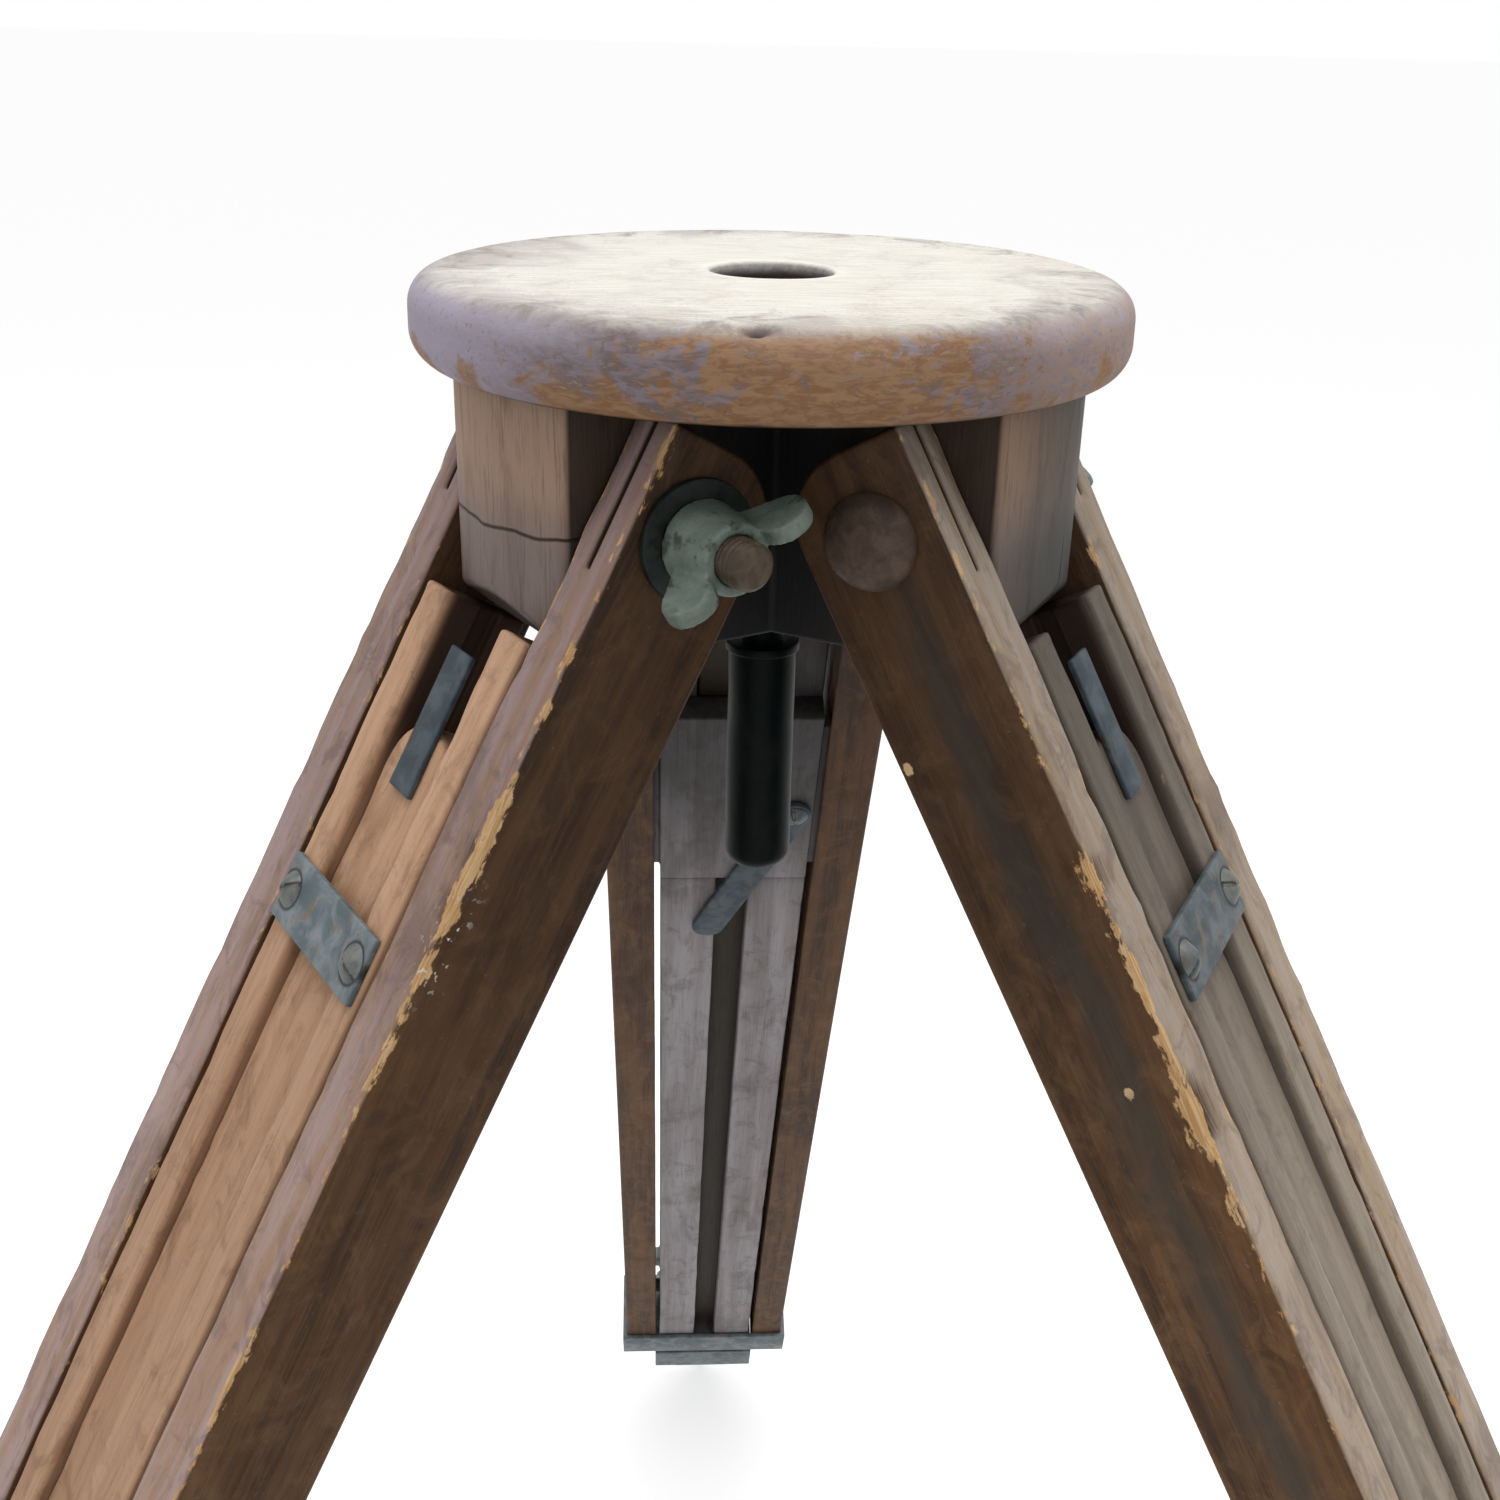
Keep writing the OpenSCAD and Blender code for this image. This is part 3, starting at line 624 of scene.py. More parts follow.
class TripodColours(bpy.types.PropertyGroup):
    rail_dark: colour_value("Rail, dark", "Darkest varnish on the rails' sides",
                            (0.030, 0.013, 0.005))
    rail_warm: colour_value("Rail, warm", "Red-brown varnish on the rails' sides",
                            (0.092, 0.043, 0.017))
    rail_light: colour_value("Rail, light", "Thin varnish on the rails' sides",
                             (0.15, 0.080, 0.036))
    face_pale: colour_value("Outer face, pale", "Weathered lilac-pink on the rails' outer faces",
                            (0.36, 0.255, 0.245))
    face_tan: colour_value("Outer face, tan", "Tan on the rails' outer faces",
                           (0.31, 0.19, 0.13))
    face_dark: colour_value("Outer face, dark", "Dirt on the rails' outer faces",
                            (0.12, 0.085, 0.075))
    bare_wood: colour_value("Bare wood", "Bare wood on worn corners", (0.60, 0.33, 0.13))
    bare_light: colour_value("Bare wood, light", "Light streaks in bare wood",
                             (0.80, 0.55, 0.30))
    dust: colour_value("Dust", "Dust in the pores", (0.33, 0.27, 0.22))
    # Used as painted shade inside the rails' kerfs.
    dirt: colour_value("Dirt", "Dirt in cuts and seams", (0.05, 0.045, 0.028))
    cream: colour_value("Head, cream", "Worn pale top of the head", (0.84, 0.82, 0.76))
    mauve: colour_value("Head, mauve", "Old stain on the head's rim", (0.28, 0.23, 0.26))
    orange: colour_value("Head, orange", "Bare wood on the head's rim", (0.40, 0.225, 0.10))
    plate: colour_value("Plates", "Oxidised blue-grey metal", (0.10, 0.135, 0.15))
    plate_pale: colour_value("Plates, pale", "Bloom on the plates", (0.22, 0.25, 0.27))
    plate_tan: colour_value("Plates, tan", "Tan spots on the plates", (0.22, 0.16, 0.11))
    cast: colour_value("Wing nuts", "Grey-green cast metal", (0.15, 0.195, 0.165))
    grip: colour_value("Grip", "Black of the tie-down screw", (0.003, 0.006, 0.006))


class TripodSizes(bpy.types.PropertyGroup):
    metal_edge: length_value("Metal edge", "Rounding of the metal pieces' edges", 0.5, 0.1, 1.0)
    block_edge: length_value("Block edge", "Rounding of the hinge block's edges", 1.3, 0.2, 2.0)
    rail_wear: length_value("Rail wear", "Most that a rail's corners are worn", 1.4, 0.0, 2.0)
    board_wear: length_value("Board wear", "Most that a board's corners are worn", 0.9, 0.0, 1.5)
    bolt_pitch: length_value("Thread pitch", "Pitch of the hinge bolts' threads", 1.95, 1.0, 3.0)
    slot_width: length_value("Screw slot", "Width of the slots in the screws", 1.3, 0.6, 2.0)


class TripodStage(bpy.types.PropertyGroup):
    floor_colour: colour_value("Floor", "Colour of the floor", (0.82, 0.82, 0.82))
    lamp_power: bpy.props.FloatProperty(
        name="Lamp", description="Power of the lamp above the head", default=26.0,
        min=0.0, unit="POWER")
    sky: bpy.props.FloatProperty(
        name="Sky", description="Level of the even light from all round", default=0.52, min=0.0)
    lens: bpy.props.FloatProperty(
        name="Lens", description="Focal length of the camera, in millimetres", default=40.87,
        min=10.0)


# ---- One operator for each group of pieces ----

class TRIPOD_OT_head_disc(bpy.types.Operator):
    """Turns the round head and wears its rim"""
    bl_idname = "tripod.head_disc"
    bl_label = "Head disc"

    def execute(self, context):
        colours = context.scene.tripod_colours
        low, high = span("head_disc")
        outer = high[0]
        thick = -low[2]
        hole = np.hypot(*to_frame(points_of(frame["nodes"]["head_disc"].data), Matrix())
                        [:, :2].T).min()
        edge = 9.0      # rounding of the rim
        chip = 1.2      # rounding of the hole
        profile = np.concatenate([
            arc(hole + chip, -chip, chip, 180, 90, 5),
            np.stack([np.linspace(hole + 3, outer - edge - 1, 18), np.zeros(18)], axis=-1),
            arc(outer - edge, -edge, edge, 90, 0, 14),
            arc(outer - edge, edge - thick, edge, 0, -90, 14),
            np.stack([np.linspace(outer - edge - 3, hole + 3, 6), np.full(6, -thick)], axis=-1),
            arc(hole + chip, chip - thick, chip, 270, 180, 4),
            np.stack([np.full(3, hole), np.linspace(-thick + 5, -6, 3)], axis=-1)])
        local = self.worn(turned(profile, 288, Matrix()) * MM, outer)
        piece = put("worn_head_disc", skin(local / MM, True), "head", "head_disc")
        paint(piece, self.finish(colours, thick))
        return {"FINISHED"}

    def worn(self, local, outer):
        """Dents the rim, lets the top sag a little and cuts one notch in the upper edge."""
        angle = np.arctan2(local[..., 1], local[..., 0])
        reach = np.hypot(local[..., 0], local[..., 1])
        turn = (angle % (2.0 * np.pi)) * outer
        around = 2.0 * np.pi * outer
        loop = np.minimum(turn, around - turn)
        dents = wander(loop, 5, 17.0) * wander(turn, 6, 9.0) * np.minimum(1.0, loop / 20.0)
        rim = np.clip((reach - outer + 14.0) / 8.0, 0.0, 1.0)
        upper = np.clip((local[..., 2] + 16.0) / 8.0, 0.0, 1.0)
        scale = 1.0 - (0.9 * dents * rim * (0.35 + 0.65 * upper)) / outer
        sag = 0.55 * wander(local[..., 0], 11, 26.0) * wander(local[..., 1], 12, 40.0)
        sag = sag * np.clip((local[..., 2] + 2.0) / 2.0, 0.0, 1.0)
        notch = np.exp(-((local[..., 0] - RIM_NOTCH[0]) / 3.4) ** 2
                       - ((local[..., 1] - RIM_NOTCH[1]) / 2.2) ** 2)
        notch = notch * np.clip((local[..., 2] + 10.0) / 6.0, 0.0, 1.0)
        local[..., 0] *= scale
        local[..., 1] *= scale
        local[..., 2] -= sag + 2.4 * notch
        return local

    def finish(self, colours, thick):
        """Cream top worn through a mauve-brown stain, with bare orange patches on the rim, painted
        highlights on the rim's left side and upper half, and painted shade in the notch, in the
        hole and on the underside.
        """
        f = Finish("head_wood")
        reach = f.distance(f.x, f.y)
        grain = f.noise(0.9, 4.0, 0.6, (0.06, 1.0, 1.0), 0.3)
        around = f.noise(0.35, 4.0, 0.6, (0.5, 0.5, 1.6), 0.6)
        large = f.noise(0.022, 4.0, 0.62, bend=0.9, shift=3.0)
        blots = f.noise(0.05, 5.0, 0.68, bend=1.0, shift=11.0)
        speck = f.noise(0.55, 5.0, 0.75)
        top = f.mix(f.fade(grain, 0.35, 0.68), colours.cream, TONES["straw"])
        stain = f.plus(reach, f.span_of(blots, -70.0, 50.0))
        wide = f.plus(f.calc("SUBTRACT", reach, f.both(f.x, 0.12)),
                      f.span_of(large, -90.0, 60.0))
        top = f.cover(
            top,
            (f.both(f.fade(wide, 52.0, 92.0), 0.75), TONES["scuffed"]),
            (f.both(f.fade(stain, 70.0, 104.0), 0.8), TONES["old_stain"]),
            (f.both(f.both(f.fade(speck, 0.56, 0.66), f.fade(reach, 20.0, 90.0)), 0.5),
             TONES["top_specks"]),
            (f.both(f.gap(reach, 19.5, 3.0), 0.8), TONES["hole_lip"]))
        rim = f.mix(f.fade(around, 0.38, 0.62), colours.mauve, TONES["rim_brown"])
        # Painted highlight on the rim's upper half.
        bloom = f.both(f.fade(f.plus(f.z, f.span_of(blots, -6.0, 6.0)), -12.0, -3.0),
                       f.fade(large, 0.35, 0.6))
        low_band = f.plus(f.z, f.span_of(blots, -22.0, 22.0))
        bare = f.both(f.fade(low_band, -12.0, -18.0), f.fade(large, 0.42, 0.54))
        ragged = f.noise(0.07, 5.0, 0.72, bend=1.6, shift=41.0)
        patch = f.plus(f.gap(f.x, 8.0, 75.0), f.span_of(ragged, -1.5, 1.5))
        patch = f.plus(patch, f.span_of(speck, -0.5, 0.5))
        patch = f.both(f.fade(patch, 0.42, 0.78), f.fade(f.y, 0.0, -40.0))
        bare = f.calc("MAXIMUM", bare, patch)
        right = f.both(f.fade(f.x, 30.0, 85.0), f.fade(around, 0.30, 0.55))
        # Painted highlights on the rim's left side and upper half.
        rim = f.cover(
            rim,
            (f.both(f.fade(f.x, -45.0, -88.0), 0.85), TONES["rim_left_highlight"]),
            (f.both(bloom, 0.8), TONES["rim_top_highlight"]),
            (f.both(right, 0.8), TONES["rim_rose"]),
            (f.both(bare, 0.85),
             f.mix(f.fade(around, 0.4, 0.6), colours.orange, TONES["rim_rust"])),
            (f.both(f.fade(speck, 0.58, 0.68), 0.5), TONES["rim_specks"]),
            (f.both(f.fade(around, 0.60, 0.74), 0.4), TONES["rim_pale"]))
        down = f.plus(f.z, f.span_of(speck, -2.4, 1.6))
        down = f.plus(down, f.span_of(blots, -3.0, 2.0))
        colour = f.mix(f.fade(down, -0.6, -4.6), top, rim)
        # Painted shade in the notch, inside the hole and on the underside.
        notch = f.both(f.gap(f.x, RIM_NOTCH[0], 6.5), f.gap(f.y, RIM_NOTCH[1], 3.4))
        hole = f.fade(reach, 18.9, 17.9)
        colour = f.cover(
            colour,
            (f.both(notch, 0.95), TONES["notch"]),
            (f.both(hole, f.fade(f.z, -1.5, -4.5)), TONES["hole"]),
            (f.fade(f.z, 1.6 - thick, 0.3 - thick), TONES["underside"]))
        height = f.plus(f.both(grain, 0.5), f.both(speck, 0.5))
        return f.shine(colour, f.span_of(blots, 0.5, 0.8), height, 0.3)


class TRIPOD_OT_hinge_block(bpy.types.Operator):
    """Softens the hinge block's edges and gives it stained wood"""
    bl_idname = "tripod.hinge_block"
    bl_label = "Hinge block"

    def execute(self, context):
        sizes = context.scene.tripod_sizes
        piece = soft_piece("stained_hinge_block", "head", "hinge_block",
                           sizes.block_edge, 3)
        paint(piece, self.finish())
        return {"FINISHED"}

    def finish(self):
        """Grey-brown stain with upright grain, orange towards the top, a dark shake, and painted
        shade on the arms' sides and between the arms.
        """
        f = Finish("block_wood")
        reach = f.distance(f.x, f.y)
        grain = f.noise(1.1, 4.0, 0.6, (1.0, 1.0, 0.06), 0.4)
        bands = f.noise(0.12, 3.0, 0.6, (1.0, 1.0, 0.25), 0.6)
        blots = f.noise(0.035, 4.0, 0.6, bend=0.5, shift=5.0)
        high = f.fade(f.plus(f.z, f.span_of(blots, -12.0, 12.0)), -66.0, -40.0)
        base = f.mix(high, TONES["block_low"], TONES["block_high"])
        base = f.cover(
            base,
            (f.both(f.fade(bands, 0.5, 0.7), 0.5), TONES["block_bands"]),
            (f.both(f.fade(grain, 0.5, 0.7), 0.5), TONES["block_grain"]),
            (f.both(f.fade(f.x, 45.0, 80.0), 0.85), TONES["block_right"]),
            (f.both(f.both(f.fade(f.x, 45.0, 80.0), f.fade(f.z, -50.0, -70.0)), 0.7),
             TONES["block_right_low"]))
        # Painted shade on all but the arms' outer ends, deepest between the arms.
        cheek_shade = f.fade(reach, 89.2, 87.8)
        base = f.mix(f.both(cheek_shade, 0.9), base, TONES["block_cheek_shade"])
        base = f.mix(f.fade(reach, 66.0, 46.0), base, TONES["block_heart_shade"])
        wave = f.plus(f.z, f.span_of(f.noise(0.05, 2.0, 0.5), -2.5, 2.5))
        slope = f.plus(wave, f.both(f.y, 0.10))
        shake = f.both(f.gap(slope, -66.0, 0.75), f.fade(f.x, -40.0, -50.0))
        colour = f.mix(f.both(shake, 0.95), base, TONES["split"])
        crack = f.gap(f.plus(f.y, f.span_of(f.noise(0.06, 2.0, 0.5), -2.0, 2.0)), -41.0, 0.7)
        crack = f.both(crack, f.both(f.fade(f.x, 40.0, 50.0), f.fade(f.z, -60.0, -74.0)))
        colour = f.mix(f.both(crack, 0.9), colour, TONES["split"])
        split = f.calc("MAXIMUM", shake, crack)
        height = f.calc("SUBTRACT", f.both(grain, 0.5),
                        f.both(split, 2.0))
        return f.shine(colour, f.span_of(bands, 0.5, 0.75), height, 0.35)


class TRIPOD_OT_rails(bpy.types.Operator):
    """Makes the six rails with worn outer corners"""
    bl_idname = "tripod.rails"
    bl_label = "Rails"
    chips = {
        "left_rail_b": ((0, -40, 7, 0.8), (0, -83, 7, 1.6), (0, -96, 8, 2.2), (0, -110, 9, 1.8),
                        (0, -128, 6, 1.1), (0, -151, 8, 1.0), (0, -173, 6, 0.9),
                        (1, -30, 12, 0.9), (1, 8, 14, 1.0), (0, 12, 14, 0.8)),
        "right_rail_a": ((0, -59, 6, 0.9), (0, -101, 6, 2.0), (0, -108, 4, 1.2),
                         (0, -124, 7, 1.2), (0, -135, 9, 1.6), (0, -152, 7, 1.4),
                         (0, -167, 7, 2.1), (0, -178, 9, 2.6), (0, -202, 7, 1.9),
                         (1, -84, 5, 1.5), (1, 2, 12, 0.9)),
    }

    def execute(self, context):
        sizes = context.scene.tripod_sizes
        colours = context.scene.tripod_colours
        for number, side in enumerate(SIDES):
            finish = None
            for half, sign in (("a", -1.0), ("b", 1.0)):
                node = f"{side}_rail_{half}"
                low, high = span(node, LEGS[side])
                depth = high[0]
                outer = max(abs(low[1]), abs(high[1]))
                inner = min(abs(low[1]), abs(high[1]))
                corners = ((depth, sign * outer), (depth, sign * inner))
                mesh = worn_board(node, LEGS[side], corners, 10 * number + (sign > 0),
                                  sizes.rail_wear, self.chips.get(node, ()))
                piece = put(f"{side}_worn_rail_{half}", mesh, f"{side}_upper_leg",
                            node)
                finish = finish or rail_finish(side, colours, depth, inner, outer)
                paint(piece, finish)
        return {"FINISHED"}


PLANKS = {
    "left": ((0.11, 0.055, 0.03), (0.33, 0.19, 0.115), (0.42, 0.26, 0.165),
             (0.55, 0.38, 0.24), (0.07, 0.045, 0.03)),
    "right": ((0.075, 0.06, 0.05), (0.185, 0.15, 0.118), (0.27, 0.225, 0.178),
              (0.42, 0.30, 0.18), (0.05, 0.04, 0.03)),
    "back": ((0.05, 0.042, 0.036), (0.14, 0.125, 0.125), (0.21, 0.195, 0.205),
             (0.40, 0.36, 0.32), (0.05, 0.04, 0.03)),
}


class TRIPOD_OT_stiles(bpy.types.Operator):
    """Makes the stiles and the cross blocks between them"""
    bl_idname = "tripod.stiles"
    bl_label = "Stiles and cross blocks"

    def execute(self, context):
        sizes = context.scene.tripod_sizes
        for number, side in enumerate(SIDES):
            finish = None
            for half, sign in (("a", -1.0), ("b", 1.0)):
                node = f"{side}_stile_{half}"
                low, high = span(node, LEGS[side])
                outer = max(abs(low[1]), abs(high[1]))
                inner = outer - STILE_WIDTH
                corners = ((high[0], sign * outer), (high[0], sign * inner),
                           (low[0], sign * outer), (low[0], sign * STILE_LIP))
                mesh = worn_board(node, LEGS[side], corners, 40 + 10 * number + (sign > 0),
                                  sizes.board_wear)
                piece = put(f"{side}_worn_stile_{half}", mesh, f"{side}_middle_leg",
                            node)
                finish = finish or plank_finish("stile_wood", side, PLANKS[side], high[0], inner)
                paint(piece, finish)
            node = f"{side}_cross_block"
            piece = soft_piece(f"{side}_soft_cross_block", f"{side}_middle_leg",
                               node, BLOCK_EDGE)
            face_x = span(node, LEGS[side])[1][0]
            paint(piece, plank_finish("cross_wood", side, PLANKS[side], face_x))
        return {"FINISHED"}


class TRIPOD_OT_lower_boards(bpy.types.Operator):
    """Makes the sliding lower boards"""
    bl_idname = "tripod.lower_boards"
    bl_label = "Lower boards"

    def execute(self, context):
        sizes = context.scene.tripod_sizes
        for number, side in enumerate(SIDES):
            node = f"{side}_lower_board"
            low, high = span(node, LEGS[side])
            corners = [(x, y) for x in (high[0], low[0]) for y in (BOARD_HALF, -BOARD_HALF)]
            mesh = worn_board(node, LEGS[side], corners, 80 + 10 * number, sizes.board_wear)
            piece = put(f"{side}_worn_lower_board", mesh, f"{side}_lower_leg", node)
            paint(piece, plank_finish("board_wood", side, PLANKS[side], high[0], BOARD_HALF))
        return {"FINISHED"}


class TRIPOD_OT_hinge_bolts(bpy.types.Operator):
    """Turns the hinge bolts, with domed heads and threaded ends, and their washers"""
    bl_idname = "tripod.hinge_bolts"
    bl_label = "Hinge bolts"

    def execute(self, context):
        sizes = context.scene.tripod_sizes
        pitch = sizes.bolt_pitch
        for side in SIDES:
            node = f"{side}_hinge_bolt"
            low, high = span(node, LEGS[side])
            wide = max(abs(low[0]), high[0])
            tall = HEAD_SEAT - low[1]
            end = high[1]
            part = np.linspace(0.0, 1.0, 14)[1:]
            dome = np.stack([wide * np.sin(part * np.pi / 2.0) ** 0.92,
                             low[1] + tall * (1.0 - np.cos(part * np.pi / 2.0)) ** 1.15], axis=-1)
            thread = np.arange(THREAD_START, end - 1.6, 0.24)
            profile = np.concatenate([
                [[1.2, low[1] + 0.02]], dome,
                [[wide - 0.5, HEAD_SEAT], [SHANK_R, HEAD_SEAT + 0.01]],
                [[SHANK_R, y] for y in np.linspace(HEAD_SEAT + 4, THREAD_START - 1, 8)],
                np.stack([np.full(len(thread), SHANK_R), thread], axis=-1),
                arc(SHANK_R - 2.2, end - 1.6, 1.6, 10, 90, 6)])
            profile[:, 0] = np.minimum(profile[:, 0], wide)

            def ridge(radius, height, angle):
                """Worn helical thread: a rounded saw wave that climbs one pitch each turn."""
                wave = 0.5 + 0.5 * np.cos(2.0 * np.pi * height / pitch - angle)
                cut = -0.55 * wave ** 1.5
                fade = np.clip((height - THREAD_START) / 2.0, 0.0, 1.0)
                fade = fade * np.clip((end - 1.0 - height) / 1.2, 0.0, 1.0)
                return np.where((height > THREAD_START) & (radius > 3.0), cut * fade, 0.0)

            mesh = skin(turned(profile, 72, bolt_frame(side), ridge), False)
            piece = put(f"{side}_domed_hinge_bolt", mesh, f"{side}_upper_leg", node)
            sharpen(mesh, TURNED_ANGLE)
            paint(piece, self.finish(side))
            washer = soft_piece(f"{side}_worn_washer", f"{side}_upper_leg",
                                f"{side}_hinge_washer", sizes.metal_edge)
            paint(washer, metal_finish(f"washer_steel_{side}", LEGS[side], *METALS["washer"]))
        return {"FINISHED"}

    def finish(self, side):
        """Brown rust, with old varnish on the head and bright steel on the thread."""
        f = Finish(f"bolt_steel_{side}", LEGS[side])
        patches = f.noise(0.16, 4.0, 0.6, bend=0.6)
        grit = f.noise(1.5, 4.0, 0.7)
        head = f.mix(f.fade(patches, 0.35, 0.65), (0.115, 0.078, 0.056), (0.065, 0.042, 0.03))
        tip = f.mix(f.fade(patches, 0.35, 0.65), (0.07, 0.052, 0.036), (0.115, 0.085, 0.06))
        colour = f.mix(f.fade(f.y, -10.0, 10.0), head, tip)
        colour = f.mix(f.both(f.fade(grit, 0.55, 0.72), 0.5), colour, (0.02, 0.014, 0.01))
        return f.shine(colour, f.span_of(grit, 0.35, 0.62), grit, 0.15, Metallic=0.15)


class TRIPOD_OT_wing_nuts(bpy.types.Operator):
    """Makes the cast wing nuts with rounded wings"""
    bl_idname = "tripod.wing_nuts"
    bl_label = "Wing nuts"

    def execute(self, context):
        colours = context.scene.tripod_colours
        for side in SIDES:
            node = f"{side}_wing_nut"
            mesh = to_mesh(merged_copy(node))
            piece = put(f"{side}_cast_wing_nut", mesh, f"{side}_nut", node)
            cast = piece.modifiers.new("cast", "REMESH")
            cast.mode = "VOXEL"
            cast.voxel_size = CAST_GRAIN
            cast.use_smooth_shade = True
            ease = piece.modifiers.new("ease", "SMOOTH")
            ease.factor = 0.5
            ease.iterations = 10
            paint(piece, metal_finish(
                f"cast_grey_{side}", LEGS[side], colours.cast, *METALS["cast"]))
        return {"FINISHED"}


class TRIPOD_OT_plates(bpy.types.Operator):
    """Makes the keeper plates, swing catches and catch strips, and their round-headed screws"""
    bl_idname = "tripod.plates"
    bl_label = "Plates and screws"

    def execute(self, context):
        sizes = context.scene.tripod_sizes
        colours = context.scene.tripod_colours
        for side in SIDES:
            # Painted shade on the right leg's plates and painted light on the others: one plate
            # colour scaled by leg.
            light_level = 0.72 if side == "right" else 1.15
            low, high = span(f"{side}_keeper_plate", LEGS[side])
            middle = (low[2] + high[2]) / 2.0
            finish = metal_finish(
                f"plate_steel_{side}", LEGS[side], Vector(colours.plate) * light_level,
                colours.plate_tan, Vector(colours.plate_pale) * light_level, 0.5, 0.25, 0.15,
                [(y, middle) for y in (-KEEPER_SCREW, KEEPER_SCREW)])
            # Darker metal for the catches: painted shade for the catch strip between the stiles.
            shaded_catch_metal = metal_finish(f"catch_steel_{side}", LEGS[side], *METALS["catch"])
            for part, body in (("keeper_plate", "middle_leg"), ("swing_catch", "catch"),
                               ("catch_strip", "lower_leg")):
                piece = soft_piece(f"{side}_old_{part}", f"{side}_{body}",
                                   f"{side}_{part}", sizes.metal_edge)
                paint(piece, finish if part == "keeper_plate" else shaded_catch_metal)
            self.screws(side, sizes.slot_width)
        return {"FINISHED"}

    def screws(self, side, slot_width):
        """Three round-headed screws: the head's height falls with the square of the distance
        from its middle, less a slot straight across it."""
        placing = LEGS[side]
        local = to_frame(points_of(frame["nodes"][f"{side}_screws"].data), placing)
        steps = 96
        rise = 3.0      # height of a screw's head
        meshes = []
        for number, (keep, sign) in enumerate((
                ((local[:, 0] > 0) & (local[:, 1] < 0), 1.0),
                ((local[:, 0] > 0) & (local[:, 1] > 0), 1.0),
                (local[:, 0] < 0, -1.0))):
            part = local[keep]
            y, z = (part.min(axis=0) + part.max(axis=0))[1:] / 2.0
            head = max(part[:, 1].max() - y, part[:, 2].max() - z)
            tip, deep = part[:, 0].max(), part[:, 0].min()
            if sign < 0.0:
                tip, deep = deep, tip
            radius = np.concatenate([np.linspace(0.25, 1.0, 26) * head, [head * 0.98, 2.5, 2.5]])
            height = rise * (1.0 - (radius / head) ** 2)
            height[26:] = (0.0, 0.0, rise - abs(tip - deep))
            angle = np.linspace(0.0, 2.0 * np.pi, steps, endpoint=False)
            r, turn = np.meshgrid(radius, angle, indexing="ij")
            h = np.repeat(height[:, None], steps, axis=1)
            twist = 0.7 + 1.9 * number
            across = np.abs(r * np.sin(turn - twist))
            cut = np.clip((slot_width / 2.0 - across) / 0.25 + 0.5, 0.0, 1.0)
            cut[25:] = 0.0
            h = h - 1.1 * cut * np.clip((1.02 - r / head) * 8.0, 0.0, 1.0)
            seat = tip - sign * rise
            grid = np.stack([seat + sign * h, y + r * np.cos(turn), z + r * np.sin(turn)], axis=-1)
            meshes.append(skin(from_frame(grid.reshape(-1, 3), placing).reshape(grid.shape),
                               False))
        mesh = joined(meshes)
        piece = put(f"{side}_slotted_screws", mesh, f"{side}_middle_leg",
                    f"{side}_screws")
        sharpen(mesh, TURNED_ANGLE)
        paint(piece, metal_finish(f"screw_brass_{side}", placing, *METALS["brass"]))


